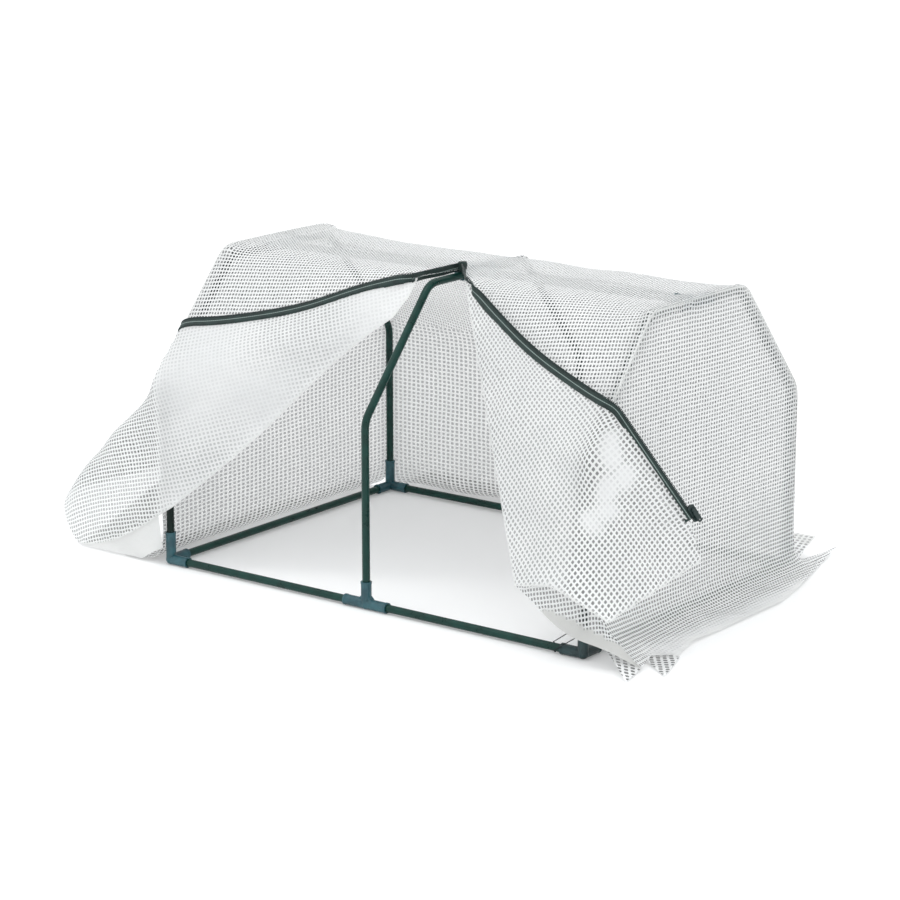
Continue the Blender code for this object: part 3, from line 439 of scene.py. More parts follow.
def make_lamps():
    sun = bpy.data.lights.new("key", "SUN")
    sun.energy = 0.45
    sun.angle = math.radians(20)
    link("key", sun).rotation_euler = TOWARD_SUN.to_track_quat("Z", "Y").to_euler()


def make_floor():
    n = Nodes(bpy.data.materials.new("floor_white"))
    matte = n.shader("BsdfDiffuse", {"Color": FLOOR_GREY})
    glow = n.shader("Emission", {"Strength": n.math("MULTIPLY", seen_directly(n), FLOOR_GLOW)})
    white = n.finish(n.shader("AddShader", {0: matte, 1: glow}))
    corners = [(x * FLOOR_REACH, y * FLOOR_REACH, 0) for x, y in SQUARE]
    floor = piece("floor", corners, [(0, 1, 2, 3)], white)
    floor.location.z = -FLOOR_DROP


# Nets

def rounded_rim(offset):
    """The hoops' outline at an offset, its bends rounded, from the front shoulder to the back one."""
    line = [Vector(p) for p in HOOP_LINE]
    stretches = [(b - a).normalized() for a, b in zip(line, line[1:])]
    outs = [Vector((-stretch.y, stretch.x)) for stretch in stretches]
    points = []
    for i in range(1, 5):
        before, after = outs[i - 1], outs[i]
        centre = line[i] - (before + after) * (BEND_RADIUS / (1 + before.dot(after)))
        turn = before.angle(after)
        for step in range(ARC_STEPS + 1):
            share = step / ARC_STEPS
            first = math.sin((1 - share) * turn) / math.sin(turn)
            second = math.sin(share * turn) / math.sin(turn)
            points.append(centre + (before * first + after * second) * (BEND_RADIUS + offset))
    return points


def fan(hub, line, back=False):
    """Facets from a hub to each stretch of a line, turned the other way where back is set."""
    return [(hub, b, a) if back else (hub, a, b) for a, b in zip(line, line[1:])]


def singles(*keys):
    return [(key,) for key in keys]


def sides(face):
    return zip(face, face[1:] + face[:1])


def run_of(flat, keys):
    return np.array([flat[key] for key in keys])


def gap(place, a, b):
    return float(np.linalg.norm(place[a] - place[b]))


def third_corner(place, flat, p, q, fresh):
    """Where a facet's third corner lies in the pattern, left of the edge from p to q."""
    base = flat[q] - flat[p]
    length = np.linalg.norm(base)
    unit = base / length
    run = (gap(place, p, fresh) ** 2 - gap(place, q, fresh) ** 2 + length ** 2) / (2 * length)
    rise = math.sqrt(max(gap(place, p, fresh) ** 2 - run ** 2, 0.0))
    return flat[p] + unit * run + np.array([-unit[1], unit[0]]) * rise


def unfold(place, faces):
    """The net's facets laid out flat, each beside one that lies there already."""
    first, second, _ = faces[0]
    flat = {first: np.zeros(2), second: np.array([gap(place, first, second), 0.0])}
    todo = list(faces)
    while todo:
        face = next((face for face in todo if sum(key in flat for key in face) > 1), None)
        if face is None:
            raise ValueError("the net's faces don't join: " + str(todo))
        todo.remove(face)
        for i, key in enumerate(face):
            if key not in flat:
                flat[key] = third_corner(place, flat, face[(i + 1) % 3], face[(i + 2) % 3], key)
    return flat


def even_out(spots, pairs, rest):
    """Moves a laid-out net's points until its edges have their lengths again."""
    valence = np.bincount(pairs.ravel(), minlength=len(spots))[:, None]
    for _ in range(FLATTEN_ROUNDS):
        step = spots[pairs[:, 1]] - spots[pairs[:, 0]]
        length = np.linalg.norm(step, axis=1)
        push = step * ((length - rest) / length)[:, None]
        moved = np.zeros_like(spots)
        np.add.at(moved, pairs[:, 0], push)
        np.add.at(moved, pairs[:, 1], -push)
        spots += FLATTEN_SHARE * moved / valence
    worst = float(np.abs(length - rest).max())
    print("laid flat, with an edge changed by at most", round(worst * 1000, 1), "mm")


def flatten(points, faces, anchors):
    """A net laid flat with its edges' lengths kept, turned so that two anchors lie where they belong."""
    names = list(points)
    place = {name: np.array(points[name], float) for name in names}
    flat = unfold(place, faces)
    spots = run_of(flat, names)
    edges = {tuple(sorted((names.index(a), names.index(b)))) for face in faces for a, b in sides(face)}
    pairs = np.array(sorted(edges))
    even_out(spots, pairs, np.array([gap(place, names[i], names[j]) for i, j in pairs]))
    (first, first_spot), (second, second_spot) = anchors
    have = spots[names.index(second)] - spots[names.index(first)]
    want = np.array(second_spot) - np.array(first_spot)
    turn = math.atan2(want[1], want[0]) - math.atan2(have[1], have[0])
    spin = np.array([[math.cos(turn), -math.sin(turn)], [math.sin(turn), math.cos(turn)]])
    return dict(zip(names, (spots - spots[names.index(first)]) @ spin.T + np.array(first_spot)))


def ring_of(faces):
    """The names round a net's edge, in order."""
    follow = dict.fromkeys(pair for face in faces for pair in sides(face))
    edge = {a: b for a, b in follow if (b, a) not in follow}
    ring = [next(iter(edge))]
    while edge[ring[-1]] != ring[0]:
        ring.append(edge[ring[-1]])
        if len(ring) > len(edge):
            raise ValueError("the net's faces don't all turn the same way")
    return ring


def inside(spots, loop):
    """Which spots lie inside a closed outline."""
    x, y = spots[:, 0], spots[:, 1]
    found = np.zeros(len(spots), bool)
    for (x1, y1), (x2, y2) in zip(loop, np.roll(loop, -1, axis=0)):
        crosses = (y1 > y) != (y2 > y)
        with np.errstate(divide="ignore", invalid="ignore"):
            at = (x2 - x1) * (y - y1) / (y2 - y1) + x1
        found ^= crosses & (x < at)
    return found


def off_line(spots, line):
    """Each spot's distance from an open line of points in the pattern."""
    best = np.full(len(spots), FAR)
    for a, b in zip(line, line[1:]):
        run = b - a
        share = np.clip(((spots - a) @ run) / (run @ run), 0, 1)
        best = np.minimum(best, np.linalg.norm(spots - a - share[:, None] * run, axis=1))
    return best


def fill(loop, step):
    """An even triangle mesh over an outline: its spots, faces and which spots are on the edge."""
    rim = []
    for a, b in zip(loop, np.roll(loop, -1, axis=0)):
        count = max(1, round(float(np.linalg.norm(b - a)) / step))
        rim += [a + (b - a) * i / count for i in range(count)]
    rim = np.array(rim)
    low, high = rim.min(0), rim.max(0)
    rows = np.arange(low[1] + step / 2, high[1], step * ROW_SHARE)
    cols = np.arange(low[0] - step, high[0] + step, step)
    grid = np.array([(x + (j % 2) * step / 2, y) for j, y in enumerate(rows) for x in cols])
    grid = grid[inside(grid, rim)]
    closed = np.vstack([rim, rim[:1]])
    grid = grid[off_line(grid, closed) > step * RIM_MARGIN]
    spots = [Vector(spot) for spot in np.vstack([rim, grid])]
    made = delaunay_2d_cdt(spots, [], [list(range(len(rim)))], 1, 1e-7)
    order = {old: new for new, olds in enumerate(made[3]) for old in olds}
    edge = np.zeros(len(made[0]), bool)
    edge[[order[i] for i in range(len(rim))]] = True
    return np.array([list(spot) for spot in made[0]]), [list(face) for face in made[2]], edge


def on_net(spots, flat, points, faces):
    """Each spot's place in space, by its position in the net's facets."""
    best = np.full(len(spots), -FAR)
    out = np.zeros((len(spots), 3))
    for face in faces:
        a, b, c = (flat[key] for key in face)
        box = np.array([b - a, c - a]).T
        if abs(np.linalg.det(box)) < 1e-10:
            continue
        share = (spots - a) @ np.linalg.inv(box).T
        weights = np.column_stack([1 - share.sum(1), share])
        lowest = weights.min(1)
        better = lowest > best
        best[better] = lowest[better]
        out[better] = weights[better] @ run_of(points, face)
    return out


# Settling

def mesh_edges(tri):
    """A mesh's edges, and those of them that only one face has."""
    ends = np.sort(np.vstack([tri[:, [0, 1]], tri[:, [1, 2]], tri[:, [2, 0]]]), axis=1)
    pairs, uses = np.unique(ends, axis=0, return_counts=True)
    return pairs, pairs[uses == 1]


def add_up(owners, values, count):
    """Adds rows of values up by the point that owns each row."""
    return np.column_stack([np.bincount(owners, values[:, axis], count) for axis in range(3)])


def neighbour_mean(values, pairs):
    first, second = pairs.T
    total = add_up(first, values[second], len(values)) + add_up(second, values[first], len(values))
    return total / np.maximum(np.bincount(pairs.ravel(), minlength=len(values)), 1)[:, None]


def relax(places, pairs, free, rounds):
    """Free points move towards the mean of their neighbours, round after round."""
    for _ in range(rounds):
        places[free] += RELAX_SHARE * (neighbour_mean(places, pairs) - places)[free]
    return places


def normals_of(places, tri):
    cross = np.cross(places[tri[:, 1]] - places[tri[:, 0]], places[tri[:, 2]] - places[tri[:, 0]])
    out = sum(add_up(corner, cross, len(places)) for corner in tri.T)
    return out / np.maximum(np.linalg.norm(out, axis=1), 1e-12)[:, None]


def smooth_step(value):
    value = np.clip(value, 0, 1)
    return value * value * (3 - 2 * value)


def ripple(places, scale, seed):
    return np.array([noise.noise(Vector(p) * scale + Vector((seed, 0, 0))) for p in places])


def puff(places):
    """The cover stands a little proud of the left hoop, where it is folded double and slack."""
    x, y, z = places.T
    amount = PUFF * smooth_step((PUFF_X[0] - x) / PUFF_X[1]) * smooth_step((z - PUFF_Z[0]) / PUFF_Z[1])
    out = np.column_stack([np.zeros_like(x), y - MIDDLE_Y, z - PUFF_CENTRE])
    out /= np.maximum(np.linalg.norm(out, axis=1), 1e-6)[:, None]
    return places + out * amount[:, None]


def hoop_distance(y, z):
    """How far points in the hoops' plane lie outside the hoops' centre line, and the way out."""
    line = [np.array(p) for p in HOOP_LINE]
    best = np.full(len(y), -FAR)
    way = np.zeros((len(y), 2))
    for a, b in zip(line, line[1:]):
        side = (b - a) / np.linalg.norm(b - a)
        out = np.array([-side[1], side[0]])
        far = (y - a[0]) * out[0] + (z - a[1]) * out[1]
        more = far > best
        best[more] = far[more]
        way[more] = out
    return best, way


def stay(places, pinned, pairs):
    """Leaves a sheet where it is: there is nothing to keep clear of."""
    return places


def off_hoops(places, pinned, pairs):
    """Moves the free points of the cover out of the hoops' tubes."""
    out = places.copy()
    far, way = hoop_distance(out[:, 1], out[:, 2])
    for hoop in (-HOOP_X, 0.0, HOOP_X):
        across = np.abs(out[:, 0] - hoop)
        need = np.sqrt(np.maximum(TUBE_CLEAR ** 2 - np.minimum(across, TUBE_CLEAR) ** 2, 0.0))
        near = (across < TUBE_CLEAR) & ~pinned & (out[:, 2] > ABOVE_FOOT)
        push = np.where(near, np.maximum(need - far, 0), 0)
        push = np.where(push < WIDEST_PUSH, push, 0)
        out[:, 1:] += way * push[:, None]
    return out


def off_cover(places, pinned, pairs):
    """Moves a flap's free points out to a small gap over the cover, and eases the push at its edges."""
    tree = BVHTree.FromPolygons(*SHEETS["film_cover"])
    push = np.zeros_like(places)
    for i in np.flatnonzero(~pinned):
        place = Vector(places[i])
        spot, way, _, far = tree.find_nearest(place, COVER_SEARCH)
        if spot is None:
            continue
        rise = (place - spot).dot(way)
        if far - abs(rise) < BESIDE_COVER and rise < FLAP_GAP:
            push[i] = way * (FLAP_GAP - rise)
    for _ in range(PUSH_EASE_ROUNDS):
        eased = neighbour_mean(push, pairs)
        grown = np.linalg.norm(eased, axis=1) > np.linalg.norm(push, axis=1)
        push[grown] = eased[grown]
        push[pinned] = 0
    return places + push


# Film sheets

def pinned_spots(spots, lines, zip_lines, step):
    """Which of a sheet's points stay where they are: those on its held runs and under its zip tape."""
    pinned = np.zeros(len(spots), bool)
    for line in lines:
        if len(line) == 1:
            pinned |= np.linalg.norm(spots - line[0], axis=1) < step * POINT_HOLD
        else:
            pinned |= off_line(spots, line) < EDGE_HOLD
    for line in zip_lines:
        pinned |= off_line(spots, line) < ZIP_HOLD
    return pinned


def with_slack(co, tri, spots, lines, slack, scale, seed):
    """The sheet with slow waves, which fade out towards the runs that hold it."""
    far = np.full(len(spots), 1.0)
    for line in lines:
        if len(line) > 1:
            far = np.minimum(far, off_line(spots, line))
    amount = slack * smooth_step(far / SLACK_EASE)
    return co + normals_of(co, tri) * (amount * ripple(co, scale, seed))[:, None]


def grid_coordinates(co, spots, tri, pitch, spin, back_pitch):
    """Each face corner's place in the film's grid, in cells; the back wall has its own pitch."""
    turn = math.radians(spin)
    turned = np.array([[math.cos(turn), math.sin(turn)], [-math.sin(turn), math.cos(turn)]])
    corners = tri.ravel()
    uv = (spots @ turned.T)[corners] / np.array(pitch)
    if back_pitch is not None:
        middle = co[tri].mean(1)
        wall = np.repeat((middle[:, 1] > BACK_WALL[0]) & (middle[:, 2] < BACK_WALL[1]), 3)
        uv[wall] = spots[corners][wall] / np.array(back_pitch)
    return uv


def flat_area(spots, tri):
    first = spots[tri[:, 1]] - spots[tri[:, 0]]
    second = spots[tri[:, 2]] - spots[tri[:, 0]]
    return float(np.abs(first[:, 0] * second[:, 1] - first[:, 1] * second[:, 0]).sum() / 2)


def film_sheet(name, points, faces, anchors, held, pitch, rounds, slack, fields, slack_scale=9.0, seed=0.0,
               zip_line=(), step=MESH_STEP, clear=stay, spin=0.0, back_pitch=None):
    """A film sheet over a net. Held and zip_line name runs of the net's edge that stay where they are."""
    flat = flatten(points, faces, anchors)
    spots, tris, edge = fill(run_of(flat, ring_of(faces)), step)
    tri = np.array(tris)
    lines = [run_of(flat, run) for run in held]
    zip_lines = [run_of(flat, zip_line)] if zip_line else []
    pinned = pinned_spots(spots, lines, zip_lines, step)
    pairs, rim_pairs = mesh_edges(tri)
    co = on_net(spots, flat, points, faces)
    for _ in range(rounds // SMOOTH_ROUNDS):
        co = relax(co, pairs, ~pinned & ~edge, SMOOTH_ROUNDS)
        co = relax(co, rim_pairs, ~pinned & edge, RIM_ROUNDS)
        co = clear(co, pinned, pairs)
    co = with_slack(co, tri, spots, lines + zip_lines, slack, slack_scale, seed)
    co = clear(co, pinned, pairs)
    SHEETS[name] = ([tuple(p) for p in co], tris)
    co = puff(co)
    made = piece(name, co, tris, FILM)
    mesh = made.data
    mesh.shade_smooth()
    layer = mesh.uv_layers.new(name="pattern")
    uv = grid_coordinates(co, spots, tri, pitch, spin, back_pitch)
    layer.data.foreach_set("uv", uv.astype(np.float32).ravel())
    for key in FIELDS:
        value = fields[key](co, spots, flat) if key in fields else np.zeros(len(co))
        field = mesh.attributes.new(key, "FLOAT", "POINT")
        field.data.foreach_set("value", value.astype(np.float32))
    made["cut"] = [*(float(size) for size in spots.max(0) - spots.min(0)), flat_area(spots, tri)]
    return made, flat


def all_over(co, spots, flat):
    return np.ones(len(co))


def selvage(keys):
    """A field that is 1 in a plain selvage along a run of the net's edge."""
    def plain(co, spots, flat):
        return (off_line(spots, run_of(flat, keys)) < SELVAGE) * 1.0

    return plain


# Tie cord round the front sill

def tie_route():
    """From the panel's edge, round the sill and back to the edge."""
    loop = []
    for step in range(TIE_STEPS + 1):
        share = step / TIE_STEPS
        angle = math.radians(TIE_START + TIE_TURN * share)
        x = HOOP_X - TIE_FROM_LEG + TIE_DRIFT * (share - 0.5)
        loop.append(Vector((x, -math.cos(angle) * TIE_RADIUS, TIE_HEIGHT + math.sin(angle) * TIE_RADIUS)))
    ends = []
    for x in TIE_ENDS:
        start, end = TIE_EDGE
        spot = start.lerp(end, (HOOP_X + x - start.x) / (end.x - start.x))
        ends.append(spot + Vector((0, TIE_LIFT, 0)))
    lead = [ends[0].lerp(loop[0], i / TIE_LEAD) for i in range(TIE_LEAD)]
    return lead + loop + [loop[-1].lerp(ends[1], i / TIE_LEAD) for i in range(1, TIE_LEAD + 1)]


def make_tie():
    path = tie_route()
    curve = bpy.data.curves.new("tie_cord", "CURVE")
    curve.dimensions = "3D"
    curve.bevel_depth = CORD_DIAMETER / 2
    curve.bevel_resolution = 3
    curve.use_fill_caps = True
    spline = curve.splines.new("POLY")
    spline.points.add(len(path) - 1)
    for point, place in zip(spline.points, path):
        point.co = (*place, 1)
    curve.materials.append(LOOKS["tie_cord"])
    made = link("tie_cord", curve)
    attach(made, "frame_and_cover")
    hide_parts("tie_front_right")


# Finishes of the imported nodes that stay

def finish_of(name):
    # Painted shade: the front right corner gets the darker copy of the teal
    if name == "front_right_corner":
        return "connector_teal_painted_shade"
    if "corner" in name or "tee" in name or "cross" in name:
        return "connector_teal"
    # Painted shade: the left hoop's front leg gets the near-black copy of the tube green
    if name == "left_hoop_front":
        return "tube_painted_shade"
    if name in ("zip_slider", "zip_pull", "zip_box", "zip_pin"):
        return "zip_plastic"
    return "tube_green"


def finish_nodes():
    for name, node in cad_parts.items():
        mesh = node.data
        mesh.materials.clear()
        mesh.materials.append(LOOKS[finish_of(name)])
        mesh.shade_smooth()
        mesh.set_sharp_from_angle(angle=SHARP_ANGLE)


# The cover: roof, back and the fixed parts of the front in one sheet

def cover_points(rim):
    points = {"apex": APEX, "top_l": LEFT_TOP, "top_r": RIGHT_TOP}
    for i, spot in enumerate(rim):
        points[f"L{i}"] = (-EDGE, spot.x, spot.y)
        points[f"R{i}"] = (EDGE, spot.x, spot.y)
    shoulder = rim[2]
    points.update({
        "back_foot_l": (-EDGE, BACK_FOOT, 0.004),
        "back_foot_r": (EDGE, BACK_FOOT, 0.004),
        "skirt_l": (-EDGE, 0.859, 0.001),
        "skirt_r": (0.496, 0.800, 0.042),
        "in_l": (-INNER, shoulder.x, shoulder.y),
        "in_r": (INNER, shoulder.x, shoulder.y),
        "foot_l": LEFT_FOOT,
        "foot_r": RIGHT_FOOT,
        "band_l": (-EDGE, -0.0116, 0.170),
        "e1": (-0.487, -0.0150, 0.113),
        "e2": (-0.489, -0.0150, 0.047),
        "l1": (-0.490, -0.0180, 0.036),
        "l2": (-0.519, -0.0210, 0.024),
        "l3": (-0.547, -0.0200, 0.005),
        "l4": (-0.630, -0.0200, 0.005),
        "l5": (-0.716, -0.0140, 0.002),
        "r1": (0.392, -0.0360, 0.106),
        "r2": (0.428, -0.0390, 0.080),
        "r3": (0.458, -0.0410, 0.060),
        "r4": (0.492, -0.0420, 0.046),
        "r5": (0.536, -0.0430, 0.046),
        "r6": (0.566, -0.0450, 0.045),
        "side": (0.606, 0.0070, 0.002),
        "ankle": (0.506, -0.0130, 0.100),
    })
    return points


def cover_faces(last):
    """The net's facets: round the slit's apex, the roof and back, the back skirt, then both fixed fronts."""
    faces = fan("apex", ["top_l", "L9", "L10", "R10", "R9", "top_r"], back=True)
    for i in range(10, last):
        faces += [(f"L{i}", f"R{i + 1}", f"L{i + 1}"), (f"L{i}", f"R{i}", f"R{i + 1}")]
    faces += [
        (f"L{last}", "back_foot_r", "back_foot_l"), (f"L{last}", f"R{last}", "back_foot_r"),
        ("back_foot_l", "skirt_r", "skirt_l"), ("back_foot_l", "back_foot_r", "skirt_r"),
    ]
    for i in range(9, 2, -1):
        faces += [(f"L{i}", f"L{i - 1}", "top_l"), (f"R{i}", "top_r", f"R{i - 1}")]
    faces += [("L2", "in_l", "top_l"), ("in_l", "foot_l", "top_l"), ("L2", "L1", "in_l")]
    faces += [("L1", "L0", "in_l"), ("L0", "band_l", "in_l")]
    faces += fan("band_l", ["in_l", "foot_l", "e1", "e2", "l1", "l2", "l3", "l4", "l5"], back=True)
    faces += [("R2", "top_r", "in_r"), ("in_r", "top_r", "foot_r"), ("R2", "in_r", "R1")]
    faces.append(("R1", "in_r", "R0"))
    faces += fan("R0", ["in_r", "foot_r", "r1", "r2", "r3", "r4", "ankle"])
    return faces + fan("ankle", ["r4", "r5", "r6", "side"])


def cover_plain(co, spots, flat):
    """The strip and band along the fronts' lower edges, the back hem and the seams over the end hoops."""
    x, y, z = co.T
    low = off_line(spots, run_of(flat, ("r2", "r3", "r4", "r5", "r6", "side")))
    left = (x < -0.40) & (y < 0.05) & (z < 0.135)
    hem = off_line(spots, run_of(flat, ("skirt_l", "skirt_r"))) < 0.03
    strip = low < 0.030 * np.clip((x - 0.40) / 0.08, 0, 1)
    seam = (np.abs(x) > EDGE - 0.0028) & (np.abs(x) < EDGE + 0.002) & (z > 0.15)
    return np.maximum.reduce([strip * 1.0, left * 1.0, hem * 0.4, seam * 1.0])


def cover_painted_shade(co, spots, flat):
    """Painted shade over the back, and over the strip at the front right in the flap's shadow."""
    x, y, z = co.T
    strip = (x > 0.38) & (y < 0.02) & (z < 0.135)
    return np.maximum(smooth_step((y - 0.62) / 0.05), strip * 0.55)


def make_cover():
    rim = rounded_rim(COVER_OFFSET)
    last = len(rim) - 1
    made, flat = film_sheet(
        "film_cover", cover_points(rim), cover_faces(last), [("L9", (-EDGE, 0.0)), ("R9", (EDGE, 0.0))],
        held=[["band_l"] + [f"L{i}" for i in range(last + 1)] + ["back_foot_l"],
              [f"R{i}" for i in range(last + 1)] + ["back_foot_r"],
              ("top_l", "foot_l"), ("top_r", "foot_r"), ("apex", "top_l"), ("apex", "top_r"),
              *singles("skirt_l", "skirt_r", "side", "l5", "l3", "l1", "e1", "e2")],
        pitch=COVER_PITCH, rounds=48, slack=0.004, slack_scale=8.0, clear=off_hoops, spin=COVER_SPIN,
        back_pitch=BACK_PITCH, fields={"plain": cover_plain, "painted_shade": cover_painted_shade})
    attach(made, "frame_and_cover")
    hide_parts("cover_roof_back", "cover_front_left", "cover_front_right")
    return flat


# The two ends

def level_station(y, *rows):
    """A station of a skirt whose points all lie at one depth."""
    return [(reach, y, height) for reach, height in rows]


UPPER = ((0.4982, 0.130), (0.4985, 0.065))
RIGHT_STATIONS = [
    [(0.4990, -0.0108, 0.150), (0.5080, -0.0120, 0.095), (0.5350, -0.0125, 0.060), (0.5720, -0.0080, 0.030),
     (0.6060, 0.0070, 0.006)],
    [(0.4982, 0.0500, 0.140), (0.5050, 0.0500, 0.080), (0.5260, 0.0500, 0.040), (0.5540, 0.0580, 0.019),
     (0.5850, 0.0700, 0.007)],
    [(0.4982, 0.1100, 0.130), (0.5010, 0.1100, 0.070), (0.5160, 0.1100, 0.026), (0.5500, 0.1080, 0.010),
     (0.6160, 0.1070, 0.004)],
    level_station(0.1930, UPPER[0], (0.4990, 0.065), (0.5060, 0.018), (0.5350, 0.005), (0.5970, 0.006)),
    level_station(0.2750, *UPPER, (0.5030, 0.015), (0.5340, 0.011), (0.5990, 0.003)),
    level_station(0.3660, *UPPER, (0.5020, 0.014), (0.5340, 0.003), (0.6010, 0.007)),
    level_station(0.4880, *UPPER, (0.5020, 0.015), (0.5340, 0.010), (0.6010, 0.003)),
    level_station(0.6000, *UPPER, (0.5020, 0.014), (0.5260, 0.004), (0.5800, 0.006)),
    level_station(0.6600, *UPPER)
    + [(0.5015, 0.6640, 0.014), (0.5150, 0.6880, 0.006), (0.5340, 0.7565, 0.003)],
    level_station(0.7058, *UPPER)
    + [(0.5000, 0.7140, 0.014), (0.5020, 0.7500, 0.007), (0.5110, 0.8580, 0.009)],
]
LEFT_REACHES = [(-0.0108, 0.002), (0.10, 0.0), (0.21, -0.008), (0.33, 0.0), (0.45, 0.006), (0.58, -0.004),
                (0.7058, 0.0)]
LEFT_STATIONS = [
    level_station(y, *UPPER, (0.5010, 0.014), (0.5300, 0.003), (0.5980 + reach, 0.003))
    for y, reach in LEFT_REACHES
]


def end_haze(co, spots, flat):
    """Milky film where the right skirt lies on the ground."""
    x, y, _ = co.T
    low = smooth_step((np.abs(x) - 0.535) / 0.05) * smooth_step((y - 0.02) / 0.06)
    return np.maximum(0.15, 0.95 * low * smooth_step((0.70 - y) / 0.1))


# Painted shade on the end's lower part, fading out beyond x 0.575
def end_painted_shade(co, spots, flat):
    return smooth_step((0.19 - co[:, 2]) / 0.08) * smooth_step((0.575 - co[:, 0]) / 0.02)


def make_end(name, side, stations, replaced, pitch, fields):
    """An end panel: the hoop's outline, then the skirt in rows that turn out along the ground."""
    rim = rounded_rim(END_OFFSET)
    rim_line = [f"rim{i}" for i in range(len(rim))]
    points = {"mid": (side * END_X, MIDDLE_Y, 0.33)}
    for key, spot in zip(rim_line, rim):
        points[key] = (side * END_X, spot.x, spot.y)
    for i, rows in enumerate(stations):
        for j, (reach, y, z) in enumerate(rows):
            points[f"s{i}_{j}"] = (side * reach, y, z)
    last = len(stations) - 1
    deep = len(stations[0])
    around = rim_line + [f"s{i}_0" for i in range(last, -1, -1)]
    faces = fan("mid", around + around[:1], back=True)
    for i in range(last):
        for j in range(deep - 1):
            a, b = f"s{i}_{j}", f"s{i + 1}_{j}"
            c, d = f"s{i + 1}_{j + 1}", f"s{i}_{j + 1}"
            faces += [(a, c, b), (a, d, c)]
    hem_line = [f"s{i}_{deep - 1}" for i in range(last + 1)]

    def plain(co, spots, flat):
        hem = off_line(spots, run_of(flat, hem_line)) < 0.012
        hem &= (co[:, 1] > 0.08) & (co[:, 1] < 0.62)
        seam = off_line(spots, run_of(flat, rim_line)) < 0.0022
        return np.maximum(hem * 0.75, seam * 1.0)

    made, _ = film_sheet(
        name, points, faces, [("s0_0", (0.0, 0.0)), (f"s{last}_0", (END_DEPTH, 0.0))],
        held=[["s0_0"] + rim_line + [f"s{last}_0"]] + singles(*hem_line),
        pitch=pitch, rounds=32, slack=0.0035, slack_scale=7.0, seed=3.0 + side,
        fields={"plain": plain, **fields})
    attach(made, "frame_and_cover")
    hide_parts(replaced)


# Zip tapes and teeth

def cut_corners(line, times):
    """Rounds an open line's corners; its ends stay."""
    for _ in range(times):
        out = [line[0]]
        for a, b in zip(line, line[1:]):
            out += [a.lerp(b, 0.25), a.lerp(b, 0.75)]
        line = out + [line[-1]]
    return line


def zip_edge(points):
    """A flap's zip edge: the measured points with their bends rounded and the last stretch left straight."""
    *line, last, end = [Vector(p) for p in points]
    run = (end - last).normalized()
    bends = [*line, last, last + run * STRAIGHT_FROM, last + run * (STRAIGHT_FROM + STRAIGHT_LEAD)]
    return cut_corners(bends, 3) + [end]


def lengths_along(line):
    """How far along a line each of its points lies."""
    return list(accumulate(((b - a).length for a, b in zip(line, line[1:])), initial=0.0))


def locate(lengths, distance):
    """Which stretch of a line a distance along it falls in, and the share of that stretch before it."""
    i = min(max(np.searchsorted(lengths, distance) - 1, 0), len(lengths) - 2)
    return i, (distance - lengths[i]) / (lengths[i + 1] - lengths[i])


def even(line, step):
    """The line's points again at an even spacing, ends kept."""
    lengths = lengths_along(line)
    count = max(2, round(lengths[-1] / step))
    out = []
    for k in range(count + 1):
        i, share = locate(lengths, lengths[-1] * k / count)
        out.append(line[i].lerp(line[i + 1], share))
    return out


def tape_frames(line, hub):
    """Along a zip edge: the point, the way off the flap and the outward normal, eased along the line."""
    frames = []
    for i, point in enumerate(line):
        run = (line[min(i + 1, len(line) - 1)] - line[max(i - 1, 0)]).normalized()
        out = run.cross(hub - point).normalized()
        if out.dot(Vector((point.x * 0.4, point.y - MIDDLE_Y, point.z - 0.22))) < 0:
            out = -out
        away = run.cross(out).normalized()
        if away.dot(point - hub) < 0:
            away = -away
        frames.append([point, away, out])
    for _ in range(6):
        outs = [out for _, _, out in frames]
        for i in range(1, len(frames) - 1):
            frames[i][2] = (outs[i - 1] + outs[i] * 2 + outs[i + 1]).normalized()
    return frames


def strip_faces(rows, span):
    """The faces of a grid of points with a span of points in each row."""
    starts = [i * span + j for i in range(rows - 1) for j in range(span - 1)]
    return [(a, a + 1, a + span + 1, a + span) for a in starts]


def barrel_faces(rings, around, first=0):
    """The faces between closed rings of points, with both ends capped."""
    faces = []
    for ring in range(first, first + (rings - 1) * around, around):
        for k in range(around):
            a, b = ring + k, ring + (k + 1) % around
            faces.append((a, b, b + around, a + around))
    top = first + (rings - 1) * around
    return faces + [tuple(range(first, first + around))[::-1], tuple(range(top, top + around))]


def tape_piece(name, places, faces, spots):
    """A piece of zip tape whose pattern is in metres."""
    made = piece(name, places, faces, TAPE)
    layer = made.data.uv_layers.new(name="pattern")
    for item in made.data.loops:
        layer.data[item.index].uv = spots[item.vertex_index]
    return made


def thicken(made):
    skin = made.modifiers.new("thickness", "SOLIDIFY")
    skin.thickness = TAPE_THICKNESS
    skin.offset = 0


def make_teeth(name, line, frames, body):
    """Moulded teeth: a row of small rounded blocks, each with a nib."""
    lengths = lengths_along(line)
    places, faces = [], []
    for k in range(1, int(lengths[-1] / TOOTH_PITCH)):
        i, share = locate(lengths, k * TOOTH_PITCH)
        point = line[i].lerp(line[i + 1], share)
        away = frames[i][1].lerp(frames[i + 1][1], share).normalized()
        out = frames[i][2].lerp(frames[i + 1][2], share).normalized()
        along = away.cross(out).normalized()
        centre = point + away * ROW_CENTRE + out * ROW_HEIGHT
        first = len(places)
        for level, grow in TOOTH_LEVELS:
            for dx, dy in SQUARE:
                narrow = TOOTH_NIB if dy > 0 else 1.0
                places.append(centre + along * dx * TOOTH_LENGTH / 2 * grow * narrow
                              + away * dy * TOOTH_HALF_WIDTH * grow + out * level)
        faces += barrel_faces(len(TOOTH_LEVELS), len(SQUARE), first)
    made = piece(name, puff(np.array(places)), faces, LOOKS["zip_plastic"])
    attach(made, body)


